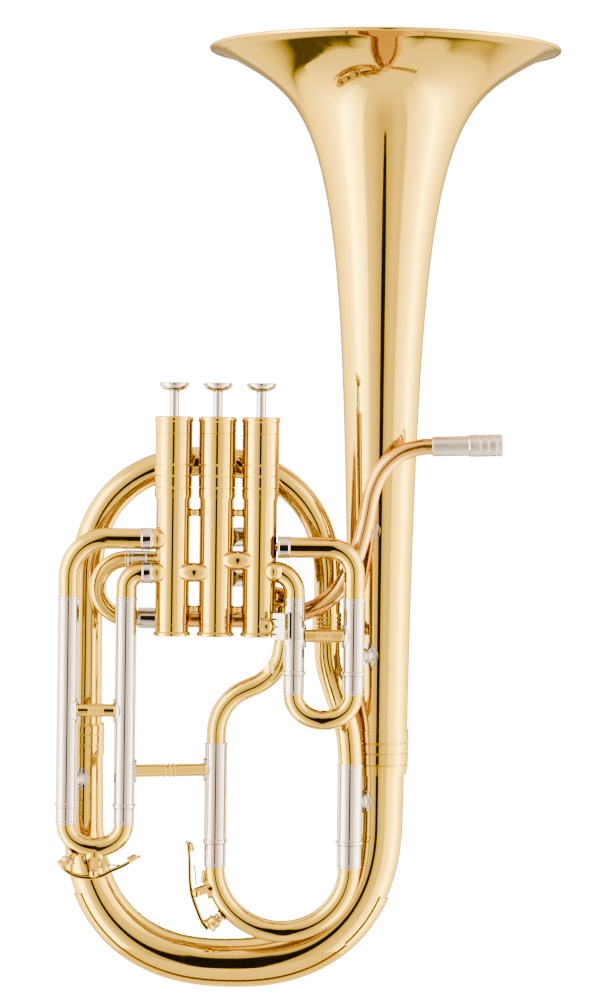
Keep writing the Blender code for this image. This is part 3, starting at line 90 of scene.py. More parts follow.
def facing(way):
    """The turn that brings +Z to a direction."""
    return UP.rotation_difference(Vector(way).normalized())


def settled(piece, name):
    """Names a new primitive and puts its place into its mesh."""
    piece.name = piece.data.name = name
    bpy.ops.object.transform_apply(location=True, rotation=True, scale=True)
    return piece


def tidied(piece, edge=EDGE, segments=2):
    """Closes seams and poles, turns the faces out, rounds sharp edges and smooths the rest."""
    opened(piece)
    bpy.ops.mesh.remove_doubles(threshold=SEAM * MM)
    bpy.ops.mesh.normals_make_consistent(inside=False)
    bpy.ops.object.mode_set(mode="OBJECT")
    if edge:
        worn = piece.modifiers.new("edge", "BEVEL")
        worn.width = edge * MM
        worn.segments = segments
        worn.limit_method = "ANGLE"
        worn.angle_limit = math.radians(ROUNDED_FROM)
        bpy.ops.object.modifier_apply(modifier="edge")
    bpy.ops.object.shade_smooth_by_angle(angle=math.radians(SHARP))
    if edge:
        even = piece.modifiers.new("even", "WEIGHTED_NORMAL")
        even.keep_sharp = True
        bpy.ops.object.modifier_apply(modifier="even")
    return piece


def headings(centres):
    """The way a tube runs at each of its rings, by the nearest rings more than a seam away."""
    found = []
    for i, spot in enumerate(centres):
        way = Vector()
        for others, sign in ((reversed(centres[:i]), -1), (centres[i + 1:], 1)):
            steps = ((other - spot) * sign for other in others if (other - spot).length > SEAM * MM)
            way += next(steps, Vector()).normalized()
        found.append(way.normalized())
    return found


def drawn(name, centres, radii, sides=TUBE_SIDES, filled=True, way=None, quarter=0.0):
    """A ring drawn along a route by extruding, turning and resizing it, with its ends filled or open.

    With a way given all rings face it. A quarter turns the first ring about its own axis."""
    centres = [Vector(spot) * MM for spot in centres]
    radii = [max(radius, SEAM / 4) * MM for radius in radii]
    ways = [Vector(way).normalized()] * len(centres) if way else headings(centres)
    bpy.ops.object.select_all(action="DESELECT")
    bpy.ops.mesh.primitive_circle_add(
        vertices=sides, radius=radii[0], fill_type="NGON" if filled else "NOTHING",
        location=centres[0], rotation=(facing(ways[0]).to_matrix() @ Matrix.Rotation(quarter, 3, "Z")).to_euler(),
    )
    piece = settled(bpy.context.object, name)
    opened(piece)
    for i in range(1, len(centres)):
        bpy.ops.mesh.extrude_region_move(TRANSFORM_OT_translate={"value": centres[i] - centres[i - 1]})
        turn = ways[i - 1].rotation_difference(ways[i])
        if turn.angle > 0.0001:
            bpy.ops.transform.rotate(
                value=-turn.angle, orient_axis="Z", orient_matrix=facing(turn.axis).to_matrix(),
                center_override=centres[i],
            )
        if abs(radii[i] - radii[i - 1]) > 1e-9:
            bpy.ops.transform.resize(value=(radii[i] / radii[i - 1],) * 3, center_override=centres[i])
    bpy.ops.object.mode_set(mode="OBJECT")
    return piece


def turned(name, profile, spot=(0, 0, 0), way=(0, 0, 1), sides=TUBE_SIDES, loop=False, edge=EDGE):
    """A lathe piece from (height, radius) points; a loop closes on itself and leaves a bore."""
    way = Vector(way).normalized()
    points = profile + profile[:1] if loop else profile
    centres = [Vector(spot) + way * height for height, radius in points]
    return tidied(drawn(name, centres, [radius for height, radius in points], sides, not loop, way), edge)


def pipe(name, route, radii, sides=TUBE_SIDES, wall=0.0):
    """A tube along a route, solid or with a wall and open ends."""
    if not isinstance(radii, list):
        radii = [radii] * len(route)
    piece = drawn(name, route, radii, sides, not wall)
    if wall:
        tidied(piece, 0)
        shell = piece.modifiers.new("wall", "SOLIDIFY")
        shell.thickness = wall * MM
        shell.offset = -1
        bpy.ops.object.modifier_apply(modifier="wall")
    return tidied(piece, 0)


def box(name, centre, size, edge=EDGE, segments=3, turn=(0, 0, 0)):
    """A block with rounded edges."""
    bpy.ops.object.select_all(action="DESELECT")
    bpy.ops.mesh.primitive_cube_add(size=1, location=Vector(centre) * MM, rotation=turn, scale=Vector(size) * MM)
    return tidied(settled(bpy.context.object, name), edge, segments)


def combined(piece, operation, other):
    """Cuts a piece with another shape, or keeps what they share, and removes the other."""
    activate(piece)
    change = piece.modifiers.new("form", "BOOLEAN")
    change.operation = operation
    change.solver = "EXACT"
    change.object = other
    bpy.ops.object.modifier_apply(modifier="form")
    bpy.data.objects.remove(other, do_unlink=True)
    return piece


def joined(name, *parts):
    """Several shapes as one object."""
    activate(parts[0])
    for part in parts:
        part.select_set(True)
    bpy.ops.object.join()
    bpy.context.object.name = bpy.context.object.data.name = name
    return bpy.context.object


# Routes

def rounded(corners):
    """A route through corners (x, y, z, bend radius), with a point every few degrees of a bend."""
    turn = 6
    spots = [Vector(corner[:3]) for corner in corners]
    route = [spots[0]]
    for before, corner, after, data in zip(spots, spots[1:], spots[2:], corners[1:]):
        arriving, leaving = (corner - before).normalized(), (after - corner).normalized()
        angle = arriving.angle(leaving)
        axis = arriving.cross(leaving).normalized()
        start = corner - arriving * data[3] * math.tan(angle / 2)
        centre = start + axis.cross(arriving) * data[3]
        steps = max(4, math.ceil(math.degrees(angle) / turn))
        for i in range(steps + 1):
            route.append(centre + Matrix.Rotation(angle * i / steps, 3, axis) @ (start - centre))
    return route + [spots[-1]]


def flowing(waypoints, steps=8):
    """A smooth route through waypoints."""
    spots = [Vector(point) for point in waypoints]
    spots = [spots[0] * 2 - spots[1]] + spots + [spots[-1] * 2 - spots[-2]]
    route = []
    for a, b, c, d in zip(spots, spots[1:], spots[2:], spots[3:]):
        for i in range(steps):
            t = i / steps
            route.append(0.5 * (2 * b + (c - a) * t + (2 * a - 5 * b + 4 * c - d) * t * t
                                + (3 * b - a - 3 * c + d) * t ** 3))
    return route + [spots[-2]]


def arch(centre_x, centre_z, half_width, height, power):
    """Half a superellipse from left to right as (x, z) points."""
    steps = 72
    spots = []
    for i in range(steps + 1):
        angle = math.pi * (1 - i / steps)
        across = abs(math.cos(angle)) ** (2 / power) * math.copysign(1, math.cos(angle))
        spots.append((centre_x + half_width * across, centre_z + height * abs(math.sin(angle)) ** (2 / power)))
    return spots


def growing(route, start, end):
    """Radii that grow evenly along a route."""
    lengths = [0.0]
    for before, after in zip(route, route[1:]):
        lengths.append(lengths[-1] + (Vector(after) - Vector(before)).length)
    return [start + (end - start) * length / lengths[-1] for length in lengths]


def bead(at, half, low, high):
    """Profile points of a rounded ring, or of a groove where high is the smaller radius."""
    return [(at - half, low), (at - half * 0.45, high), (at + half * 0.45, high), (at + half, low)]


# Finishes

def noise(tree, scale, detail, stretch, low, high):
    """A fine random pattern in the object's own space, mapped to a range."""
    place = tree.nodes.new("ShaderNodeTexCoord").outputs["Object"]
    grain = tree.nodes.new("ShaderNodeTexNoise")
    grain.inputs["Scale"].default_value = scale
    grain.inputs["Detail"].default_value = detail
    if stretch:
        mapping = tree.nodes.new("ShaderNodeMapping")
        mapping.inputs["Scale"].default_value = stretch
        tree.links.new(place, mapping.inputs["Vector"])
        place = mapping.outputs["Vector"]
    tree.links.new(place, grain.inputs["Vector"])
    span = tree.nodes.new("ShaderNodeMapRange")
    for end, value in (("From Min", 0.3), ("From Max", 0.7), ("To Min", low), ("To Max", high)):
        span.inputs[end].default_value = value
    tree.links.new(grain.outputs["Fac"], span.inputs["Value"])
    return span.outputs["Result"]


def surface(name, light, dark, scale, detail):
    """A new material that drifts between two shades, with its node tree and shader."""
    made = bpy.data.materials.new(name)
    made.use_nodes = True
    tree = made.node_tree
    shader = tree.nodes["Principled BSDF"]
    shades = tree.nodes.new("ShaderNodeMix")
    shades.data_type = "RGBA"
    shades.inputs["A"].default_value = (*light, 1)
    shades.inputs["B"].default_value = (*dark, 1)
    tree.links.new(noise(tree, scale, detail, None, 0, 1), shades.inputs["Factor"])
    tree.links.new(shades.outputs["Result"], shader.inputs["Base Color"])
    return made, tree, shader


def uneven(tree, shader, pattern, strength, distance):
    """Lets a pattern raise and lower the surface."""
    bump = tree.nodes.new("ShaderNodeBump")
    bump.inputs["Strength"].default_value = strength
    bump.inputs["Distance"].default_value = distance
    tree.links.new(pattern, bump.inputs["Height"])
    tree.links.new(bump.outputs["Normal"], shader.inputs["Normal"])


def metal(name, light, dark, rough, edge, coat=0.0):
    """Polished metal with faint clouds of colour, uneven polish and a little waviness from handwork."""
    made, tree, shader = surface(name, light, dark, 45, 4)
    shader.inputs["Metallic"].default_value = 1.0
    shader.inputs["Specular Tint"].default_value = (*edge, 1)
    shader.inputs["Coat Weight"].default_value = coat
    shader.inputs["Coat Roughness"].default_value = 0.03
    tree.links.new(noise(tree, 160, 6, (1, 1, 0.35), rough * 0.7, rough * 1.4), shader.inputs["Roughness"])
    uneven(tree, shader, noise(tree, 110, 2, (1, 1, 0.5), 0, 1), 0.02, 0.0004)
    return made


def matte(name, light, dark, rough, scale, bump):
    """A dull surface with grain."""
    made, tree, shader = surface(name, light, dark, scale, 5)
    shader.inputs["Roughness"].default_value = rough
    uneven(tree, shader, noise(tree, scale * 1.5, 6, None, 0, 1), bump, 0.0002)
    return made


FINISH = {
    "brass": metal("lacquered_brass", (0.40, 0.278, 0.0116), (0.383, 0.26, 0.009), 0.05, (1, 0.85, 0.40), 0.10),
    "rose_brass": metal("lacquered_rose_brass", (0.405, 0.234, 0.030), (0.388, 0.216, 0.026), 0.14,
                        (1, 0.78, 0.46), 0.10),
    "nickel": metal("nickel_plate", (0.328, 0.309, 0.279), (0.308, 0.290, 0.261), 0.06, (0.95, 0.97, 1.0)),
    "steel": metal("spring_steel", (0.267, 0.272, 0.29), (0.232, 0.238, 0.25), 0.2, (0.9, 0.9, 0.9)),
    "pearl": matte("shell_inlay", (0.43, 0.417, 0.405), (0.36, 0.37, 0.38), 0.12, 220, 0.05),
    "cork": matte("key_cork", (0.30, 0.21, 0.127), (0.185, 0.116, 0.058), 0.85, 900, 0.8),
}
SATIN = metal("satin_nickel", (0.365, 0.350, 0.320), (0.34, 0.325, 0.297), 0.28, (0.9, 0.9, 0.9))


def fit(piece, finish, body="horn", nodes=()):
    """Gives a finished piece its material, its body and the nodes that it stands for."""
    piece.data.materials.clear()
    piece.data.materials.append(FINISH[finish])
    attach(piece, body)
    if nodes:
        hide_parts(*nodes)
    return piece


# Bell, bottom bow and branch tube

def bell_radius(z):
    """The bell's outline: a flare that falls off with depth under the rim, fuller just below it."""
    depth = RIM_Z - z
    fullness = 3.5 * (depth / 10) ** 2 * math.exp(2 - depth / 5)
    return THROAT_RADIUS + (RIM_RADIUS - THROAT_RADIUS) * (1 + depth / 32.5) ** -1.12 + fullness


def make_bell():
    """The flare with its rolled rim, and the ferrule that joins it to the bow."""
    steps, wall, bead_radius = 84, 0.8, 1.25
    heights = [RIM_Z - (RIM_Z - FERRULE_TOP) * (i / steps) ** 1.9 for i in range(1, steps + 1)]
    heights = [z for z in heights if z < RIM_Z - 2.2 * bead_radius] + [FERRULE_TOP - 1.0]
    outer = [(z, bell_radius(z)) for z in heights]
    rolled = []
    for i in range(13):
        angle = math.radians(-115 + 25 * i)
        rolled.append((RIM_Z - bead_radius + bead_radius * math.sin(angle),
                       RIM_RADIUS - bead_radius + bead_radius * math.cos(angle)))
    under = [(rolled[0][0] + 0.15, rolled[0][1] - 0.8), (rolled[0][0] - 0.05, rolled[0][1] - 1.2)]
    inner = [(z + 0.5, radius - wall) for z, radius in outer]
    bell = turned("bell_flare", outer[::-1] + under[::-1] + rolled + inner, sides=BELL_SIDES, loop=True, edge=0)
    fit(bell, "brass", nodes=["bell"])
    top, foot, bore = bell_radius(FERRULE_TOP) + 0.75, 17.35, 16.1
    profile = [(FERRULE_TOP, top)]
    for z in (18.7, 12.9, 6.2):
        profile += bead(z, 0.55, top, top - 0.6)[::-1]
    profile += [(5.4, top - 0.1), (1.0, foot), (0.0, foot), (0.0, bore), (6.0, bore), (FERRULE_TOP, top - 0.9)]
    fit(turned("bell_ferrule_band", profile, sides=WIDE_SIDES, loop=True), "brass", nodes=["bell_ferrule"])


def bow_line():
    """The bottom bow's centre line and radii, from the branch tube down and up to the bell."""
    curve = arch(BOW_X / 2, BOW_Z, -BOW_X / 2, -BOW_DEPTH, BOW_POWER)
    last = len(curve) - 1
    route = [Vector((x, RING_Y * (1 - i / last), z)) for i, (x, z) in enumerate(curve)]
    route = [Vector((BOW_X, RING_Y, 14.7))] + route + [Vector((0, 0, 5.0))]
    return route, growing(route, 10.8, 16.1)


def make_bow():
    """The bottom bow, its guard and the ferrule at its narrow end."""
    route, radii = bow_line()
    fit(pipe("bow_tube", route, radii, WIDE_SIDES, wall=0.9), "brass", nodes=["bottom_bow"])
    make_guard(route, radii)
    profile = [(28.3, 10.0), (28.3, 11.2)]
    for z in (27.4, 22.1, 16.0):
        profile += bead(z, 0.4, 11.5, 11.15)[::-1]
    profile += [(10.2, 11.5), (9.9, 11.2), (9.9, 10.6)]
    ferrule = turned("bow_ferrule_band", profile, (BOW_X, RING_Y, 0), sides=WIDE_SIDES, loop=True)
    fit(ferrule, "brass", nodes=["bow_ferrule"])


def make_guard(route, radii):
    """The strip along the outside of the bow, which covers the same angle round the tube all the way."""
    top, half_angle, lift, thickness = -70.0, math.radians(48), 0.05, 1.0
    ways = headings([spot * MM for spot in route])
    outwards = [Vector((0, 1, 0)).cross(way).normalized() for way in ways]
    low = [i for i, spot in enumerate(route) if (spot + outwards[i] * radii[i]).z < top]
    first, last = low[0], low[-1] + 1
    part = route[first:last]
    guard = drawn("bow_guard_strip", part, [radius + lift for radius in radii[first:last]], WIDE_SIDES, False)
    opened(tidied(guard, 0))
    bpy.ops.mesh.select_mode(type="FACE")
    bpy.ops.mesh.select_all(action="DESELECT")
    bpy.ops.object.mode_set(mode="OBJECT")
    for face in guard.data.polygons:
        i = min(range(len(part)), key=lambda k: (part[k] * MM - face.center).length)
        off = face.center - part[i] * MM
        off = (off - ways[first + i] * off.dot(ways[first + i])).normalized()
        face.select = off.dot(outwards[first + i]) < math.cos(half_angle)
    bpy.ops.object.mode_set(mode="EDIT")
    bpy.ops.mesh.delete(type="FACE")
    bpy.ops.mesh.select_mode(type="VERT")
    bpy.ops.object.mode_set(mode="OBJECT")
    plate = guard.modifiers.new("plate", "SOLIDIFY")
    plate.thickness = thickness * MM
    plate.offset = 1
    bpy.ops.object.modifier_apply(modifier="plate")
    fit(tidied(guard, 0.3, 3), "brass", nodes=["bow_guard"])


def make_branch():
    """The conical tube from the main slide up, round behind the valves and down to the bow."""
    low = [(MAIN_X[1], MAIN_Y, MAIN_TOPS[1] - 1.0), (MAIN_X[1], MAIN_Y, 11.1), (-17.1, -23.8, 23.7),
           (-19.6, -20.2, 35.2), (-24.7, -13.7, 49.6), (-29.0, -9.6, 64.0), (RING_X, RING_Y, 79.0)]
    half = (RING_X - BOW_X) / 2
    curve = arch(BOW_X + half, RING_Z, half, RING_HEIGHT, RING_POWER)[::-1]
    route = flowing(low) + [Vector((x, RING_Y, z)) for x, z in curve] + [Vector((BOW_X, RING_Y, 15.2))]
    fit(pipe("branch_arch", route, growing(route, 7.0, 10.0), WIDE_SIDES), "brass", nodes=["branch_tube"])
    profile = [(83.2, 7.6), (83.4, 8.6)]
    for z in (86.0, 88.5, 91.0):
        profile += bead(z, 0.4, 8.6, 8.3)
    profile += [(93.6, 8.6), (93.8, 7.6)]
    fit(turned("branch_ferrule", profile, (RING_X, RING_Y, 0)), "brass")


# Valves

def valve_x(number):
    return FIRST_VALVE_X - (number - 1) * VALVE_SPACING


def casing_space(number):
    """What a valve casing takes up, to cut out of the tubes that end at it."""
    x, radius = valve_x(number), CASING_RADIUS - 0.15
    return drawn("space", [(x, VALVE_Y, 60), (x, VALVE_Y, 215)], [radius, radius], WIDE_SIDES)


def make_valve(number):
    """A casing with both caps, and the stem with its button and inlay. Profiles are (height, radius)."""
    spot = (valve_x(number), VALVE_Y, 0)
    top, step, foot, base = CASING_TOP, CASING_STEP, CASING_FOOT, 81.0
    wide, narrow, bore, cap_bore = CASING_TOP_RADIUS, CASING_RADIUS, CASING_BORE, 7.6
    casing = [(top + 0.6, wide - 0.3), (top - 0.1, wide - 0.3), (top - 0.3, wide)]
    for z in (178.9, 172.6, 165.8):
        casing += bead(z, 0.5, wide, wide - 0.3)[::-1]
    casing += [(step + 1.2, wide), (step - 0.6, narrow), (foot + 0.2, narrow), (foot + 0.2, bore),
               (top + 0.6, bore)]
    top_cap = [
        (top + 0.1, wide), (203.2, wide), (203.5, 11.0), (204.3, 11.2), (205.3, 11.2), (206.1, 10.8),
        (206.5, 10.1), (206.6, 9.0), (206.4, 6.0), (206.2, 3.1), (204.4, 3.1), (204.4, bore), (top + 0.1, bore),
    ]
    bottom_cap = [
        (foot + 0.8, narrow - 0.3), (foot, narrow - 0.3), (foot - 0.2, narrow), (83.6, narrow), (83.0, 10.7),
        (82.2, 10.9), (81.4, 10.7), (base, 10.1), (base + 0.3, 8.2), (base + 0.1, 7.7), (base, 1.5),
        (base + 2.2, 1.5), (base + 2.2, cap_bore), (foot + 0.8, cap_bore),
    ]
    for name, node, profile in (("casing", "valve_casing", casing), ("top_cap_form", "top_cap", top_cap),
                                ("bottom_cap_form", "bottom_cap", bottom_cap)):
        piece = turned(f"{name}_{number}", profile, spot, sides=WIDE_SIDES, loop=True)
        fit(piece, "brass", nodes=[f"{node}_{number}"])
    body = f"valve_{number}"
    button = [
        (194.3, 2.85), (207.0, 2.85), (219.4, 2.85), (219.9, 2.87), (220.9, 3.2), (221.3, 5.0), (221.7, 6.2),
        (222.6, 7.4), (223.8, 8.3), (224.8, 8.55), (225.6, 8.4), (226.0, 7.9), (226.0, 7.2), (225.3, 6.8),
        (224.2, 6.75), (224.2, 0),
    ]
    fit(turned(f"stem_button_{number}", button, spot, edge=0.08), "nickel", body, [f"stem_{number}"])
    inlay = [(224.3, 6.6), (225.1, 6.6), (225.45, 6.2), (225.6, 4.0), (225.65, 0)]
    fit(turned(f"button_inlay_{number}", inlay, spot, edge=0.08), "pearl", body, [f"pearl_{number}"])


def make_valve_links():
    """The crossover knuckles between the casings, and the two spools above and below each of them."""
    knuckle_length, knuckle_radius, knuckle_out = 10.0, 5.65, 5.8
    for high, low, knuckle_z in ((2, 1, 124.8), (3, 2, 117.7)):
        middle = Vector(((valve_x(high) + valve_x(low)) / 2, VALVE_Y - knuckle_out, knuckle_z))
        egg = [(knuckle_length * math.sin(angle), knuckle_radius * math.cos(angle) ** 0.9)
               for angle in (math.radians(-90 + 180 * i / 40) for i in range(41))]
        knuckle = turned(f"knuckle_{low}{high}", egg, middle, RIGHT, edge=0)
        for number in (high, low):
            combined(knuckle, "DIFFERENCE", casing_space(number))
        fit(tidied(knuckle, 0), "brass", nodes=[f"crossover_{low}{high}"])
        start = valve_x(high) + CASING_RADIUS - 0.1
        length = VALVE_SPACING - 2 * CASING_RADIUS + 0.2
        spool = [(0, 3.0), (0.5, 2.3), (length / 2 - 0.5, 1.9), (length / 2, 2.3), (length / 2 + 0.5, 1.9),
                 (length - 0.5, 2.3), (length, 3.0)]
        for z in (96.4, 151.7):
            fit(turned(f"spacer_{low}{high}_{int(z)}", spool, (start, VALVE_Y, z), RIGHT, SMALL_SIDES), "brass")


def collar(name, start, way, radius, length):
    """A nickel ring with a bead at both ends round a branch tube."""
    low, high = radius + 0.25, radius + 0.5
    profile = [(0, radius - 0.2), (0, low), (0.15, high), (0.65, high), (0.85, low), (length - 0.85, low),
               (length - 0.65, high), (length - 0.15, high), (length, low), (length, radius - 0.2)]
    fit(turned(name, profile, start, way), "nickel")


# Slides

def sleeve(name, top, foot, radius, bore, nodes, lip=0.75):
    """The outer tube of a slide: a double ring at its top and a bead, as high as the lip, at its foot."""
    top, foot = Vector(top), Vector(foot)
    way, length = (foot - top).normalized(), (foot - top).length
    profile = [
        (0, bore), (0, radius + 0.1), (0.3, radius + 0.25), (1.7, radius + 0.25), (1.9, radius - 0.05),
        (2.1, radius), (length - 2.5, radius), (length - 2.2, radius + 0.75 * lip), (length - 1.8, radius + lip),
        (length - 0.9, radius + lip), (length - 0.4, radius + 0.75 * lip), (length, radius - 0.1), (length, bore),
    ]
    fit(turned(name, profile, top, way, loop=True), "nickel", nodes=nodes)


def slide_legs(slide, ends, along, top, ferrule, radii, side=""):
    """The inner tubes of a slide with the nickel ferrules that hold its bow; ends are where the bow starts."""
    leg, outside = radii
    profile = [
        (0, leg), (top - ferrule, leg), (top - ferrule, outside - 0.1), (top - ferrule + 0.3, outside),
        (top - 2.2, outside), (top - 2.0, outside - 0.2), (top - 1.7, outside - 0.2), (top - 1.5, outside + 0.1),
        (top - 0.4, outside + 0.1), (top, outside - 0.3),
    ]
    for i, end in enumerate(ends):
        tube = turned(f"{slide}{side}_leg_{i}", profile, Vector(end) - along * top, along)
        fit(tube, "nickel", f"{slide}_body", () if i else [slide])


def slide_bow(slide, centre, along, across, half, depth, radii, steps=44):
    """The bent end of a slide; it runs a little way into its ferrules."""
    inside = along * 0.8
    route = [centre - across * half - inside]
    for i in range(steps + 1):
        angle = math.pi * i / steps
        route.append(centre - across * (half * math.cos(angle)) + along * (depth * math.sin(angle)))
    route.append(centre + across * half - inside)
    fit(pipe(f"{slide}_bow", route, growing(route, *radii)), "brass", f"{slide}_body")


def branch(name, corners, radius, number, nodes, lean):
    """A brass branch with a domed end, let into the valve casing that it starts from.

    The dome leans forward, out of the casing, and the tube falls back in line within a few millimetres.
    With lean None there is no dome: the tube ends beside the casing, on a short neck."""
    dome_start, fade, shortest = 8.6, 3.0, 0.3
    route = rounded(corners)
    straight = (route[1] - route[0]).length
    way = (route[1] - route[0]).normalized()
    if lean is None:
        edge = route[0] + way * (CASING_RADIUS + 0.5)
        tube = tidied(drawn("tube", [edge] + route[1:], [radius] * len(route)), 0)
        neck = drawn("neck", [route[0] + way * 5 - FRONT * 3, edge + way - FRONT * 3], [2.6, 2.6])
        combined(neck, "DIFFERENCE", casing_space(number))
        fit(joined(name, tube, tidied(neck, 0)), "brass", nodes=nodes)
        return
    start = min(dome_start, straight)
    centre = route[0] + way * start + FRONT * lean
    dome, radii = [], []
    for i in range(13):
        angle = math.radians(90 * i / 12)
        dome.append(centre - way * (radius * math.cos(angle)))
        radii.append(radius * math.sin(angle))
    run = route[2:]
    if straight - start >= shortest:
        falling = [route[0] + way * (start + fade * share) for share in (0.25, 0.5, 0.75, 1.0) if lean]
        run = [spot for spot in falling if (spot - route[0]).length < straight - shortest] + route[1:]
    length, before, line = start, route[0] + way * start, []
    for spot in run:
        length += (spot - before).length
        before = spot
        left = max(0.0, 1 - (length - start) / fade)
        line.append(spot + FRONT * lean * left * left * (3 - 2 * left))
    piece = drawn(name, dome + line, radii + [radius] * len(line))
    combined(piece, "DIFFERENCE", casing_space(number))
    fit(tidied(piece, 0), "brass", nodes=nodes)


def make_valve_slides():
    """The slides of the third and first valves; the first upper branch is plain, without a dome."""
    y = SLIDE_Y
    for label, number, xs, bends, top, foot, lap, depth, domes in (
        ("third", 3, THIRD_X, ((136.4, 22.0), (117.3, 8.8)), 103.2, THIRD_FOOT, 1.5, THIRD_DEPTH, (1.0, 1.0)),
        ("first", 1, FIRST_X[::-1], ((132.5, 14.8), (118.6, 12.0)), 103.8, 59.5, 0.0, 14.3, (None, 1.6)),
    ):
        x0 = valve_x(number)
        for end, x, (z, bend), lean in zip(("upper", "lower"), xs, bends, domes):
            side = math.copysign(1, x - x0)
            node = f"{label}_outer_{end}"
            corners = [(x0, y, z, 0), (x, y, z, bend), (x, y, top - 2, 0)]
            branch(f"{label}_{end}_branch", corners, BRANCH_RADIUS, number, [node], lean)
            lip = 0.4 if (label, end) == ("third", "upper") else 0.75
            sleeve(f"{label}_{end}_sleeve", (x, y, top), (x, y, foot - lap + 0.3), SLEEVE_RADIUS, SLEEVE_BORE,
                   [node], lip)
            if (label, end) != ("first", "lower"):
                near, length = (CASING_RADIUS + 0.7, 7.0) if lean is None else (CASING_RADIUS + 1.5, 6.4)
                collar(f"{label}_{end}_collar", (x0 + side * near, y, z), (side, 0, 0), BRANCH_RADIUS,
                       min(length, abs(x - x0) - bend - near))
        half = abs(xs[0] - xs[1]) / 2
        centre = Vector((sum(xs) / 2, y, foot - VALVE_FERRULE))
        slide, ends = f"{label}_slide", [centre - RIGHT * half, centre + RIGHT * half]
        slide_legs(slide, ends, -UP, top - LEG_GAP - centre.z, VALVE_FERRULE - lap, (5.35, BRANCH_RADIUS))
        slide_bow(slide, centre, -UP, RIGHT, half, depth, (VALVE_BOW_RADIUS, VALVE_BOW_RADIUS))
    make_second_slide()


def make_second_slide():
    """The second valve's slide points to the back right, with one leg over the other."""
    angle = math.radians(35)
    way = Vector((math.sin(angle), math.cos(angle), 0))
    start = Vector((valve_x(2), VALVE_Y, 0))
    begin, end = CASING_RADIUS + 2.0, CASING_RADIUS + 25.5
    high, low, ferrule = 137.3, 114.2, 5.0
    for label, z in (("upper", high), ("lower", low)):
        base, node = start + UP * z, f"second_outer_{label}"
        piece = drawn(f"second_{label}_branch", [base, base + way * (begin + 2)], [5.0, 5.0])
        combined(piece, "DIFFERENCE", casing_space(2))
        fit(tidied(piece, 0), "brass", nodes=[node])
        sleeve(f"second_{label}_sleeve", base + way * begin, base + way * (end - 0.3), 5.8, 5.1, [node])
    half = (high - low) / 2
    centre = start + way * (end + ferrule) + UP * (low + half)
    ends = [centre - UP * half, centre + UP * half]
    slide_legs("second_slide", ends, way, 21.0, ferrule, (4.8, 5.6))
    slide_bow("second_slide", centre, way, -UP, half, 11.0, (5.0, 5.0))


def make_main_slide():
    """The main tuning slide, whose right side is a little wider than its left."""
    centre = Vector((sum(MAIN_X) / 2, MAIN_Y, MAIN_FOOT - MAIN_FERRULE))
    half = (MAIN_X[1] - MAIN_X[0]) / 2
    for side, x, top, radius in zip(("left", "right"), MAIN_X, MAIN_TOPS, MAIN_RADII):
        bore = radius - 0.7
        sleeve(f"main_{side}_sleeve", (x, MAIN_Y, top), (x, MAIN_Y, MAIN_FOOT + 0.3), radius, bore,
               [f"main_sleeve_{side}"])
        slide_legs("main_slide", [(x, MAIN_Y, centre.z)], -UP, top - LEG_GAP - centre.z, MAIN_FERRULE,
                   (bore - 0.3, radius - 0.2), f"_{side}")
    slide_bow("main_slide", centre, -UP, RIGHT, half, MAIN_DEPTH, (5.8, 6.5), 72)


def make_feed_tube():
    """The tube from the first valve down to the left side of the main slide."""
    x, z, angle = valve_x(1), 104, math.radians(27.6)
    elbow = Vector((x, VALVE_Y, z)) + Vector((math.cos(angle), math.sin(angle), 0)) * 17.5
    route = [
        (x, VALVE_Y, z, 0), (*elbow, 6.6), (elbow.x - 0.4, elbow.y, 83, 30), (-57.5, -27.6, 58.5, 26),
        (-90.7, -25.8, 44.0, 27), (MAIN_X[0], MAIN_Y, 26, 20), (MAIN_X[0], MAIN_Y, MAIN_TOPS[0] - 1, 0),
    ]
    branch("feed_line", route, 5.7, 1, ["feed_tube"], 0)


# Receiver and leadpipe

def make_leadpipe():
    """The satin receiver, the leadpipe that falls behind the valves, and its loop into the third valve."""
    y = -27
    start, end = Vector((28.9, y, 190.9)), Vector((69.3, y, 192.1))
    way, length = (end - start).normalized(), (end - start).length
    profile = [(0, 4.9), (0, 5.6), (0.4, 5.85), (length - 19.6, 5.85), (length - 18.9, 6.45)]
    for ring in (13.0, 8.2, 3.4):
        profile += bead(length - ring, 0.5, 6.55, 6.1)
    profile += [(length - 1.0, 6.55), (length - 0.3, 6.3), (length, 5.8), (length, 5.1), (length - 1.0, 4.85),
                (12.2, 4.1), (12.0, 4.9)]
    receiver = turned("receiver", profile, start, way, loop=True)
    fit(receiver, "nickel", nodes=["mouthpiece_receiver"])
    receiver.data.materials[0] = SATIN
    back, low = -16.4, 90.0
    route = [start + way * 11.7] + flowing([
        start, (21.9, y, 190.3), (10.5, y, 186.4), (0.3, y, 176.8), (-5.6, y, 163.8), (-9.0, y, 146.0),
        (-14.0, -26, 127.5), (-22.2, -23.8, 110.0), (-31.8, -21.4, 100.6), (-43.0, -18.2, 94.6),
        (-55.0, back, 91.1), (-68.0, back, low), (-90.0, back, low),
    ]) + [Vector((-129.5, back, low))]
    fit(pipe("leadpipe_tube", route, growing(route, 4.75, 5.4), wall=0.6), "rose_brass", nodes=["leadpipe"])
    make_loop(back, low)


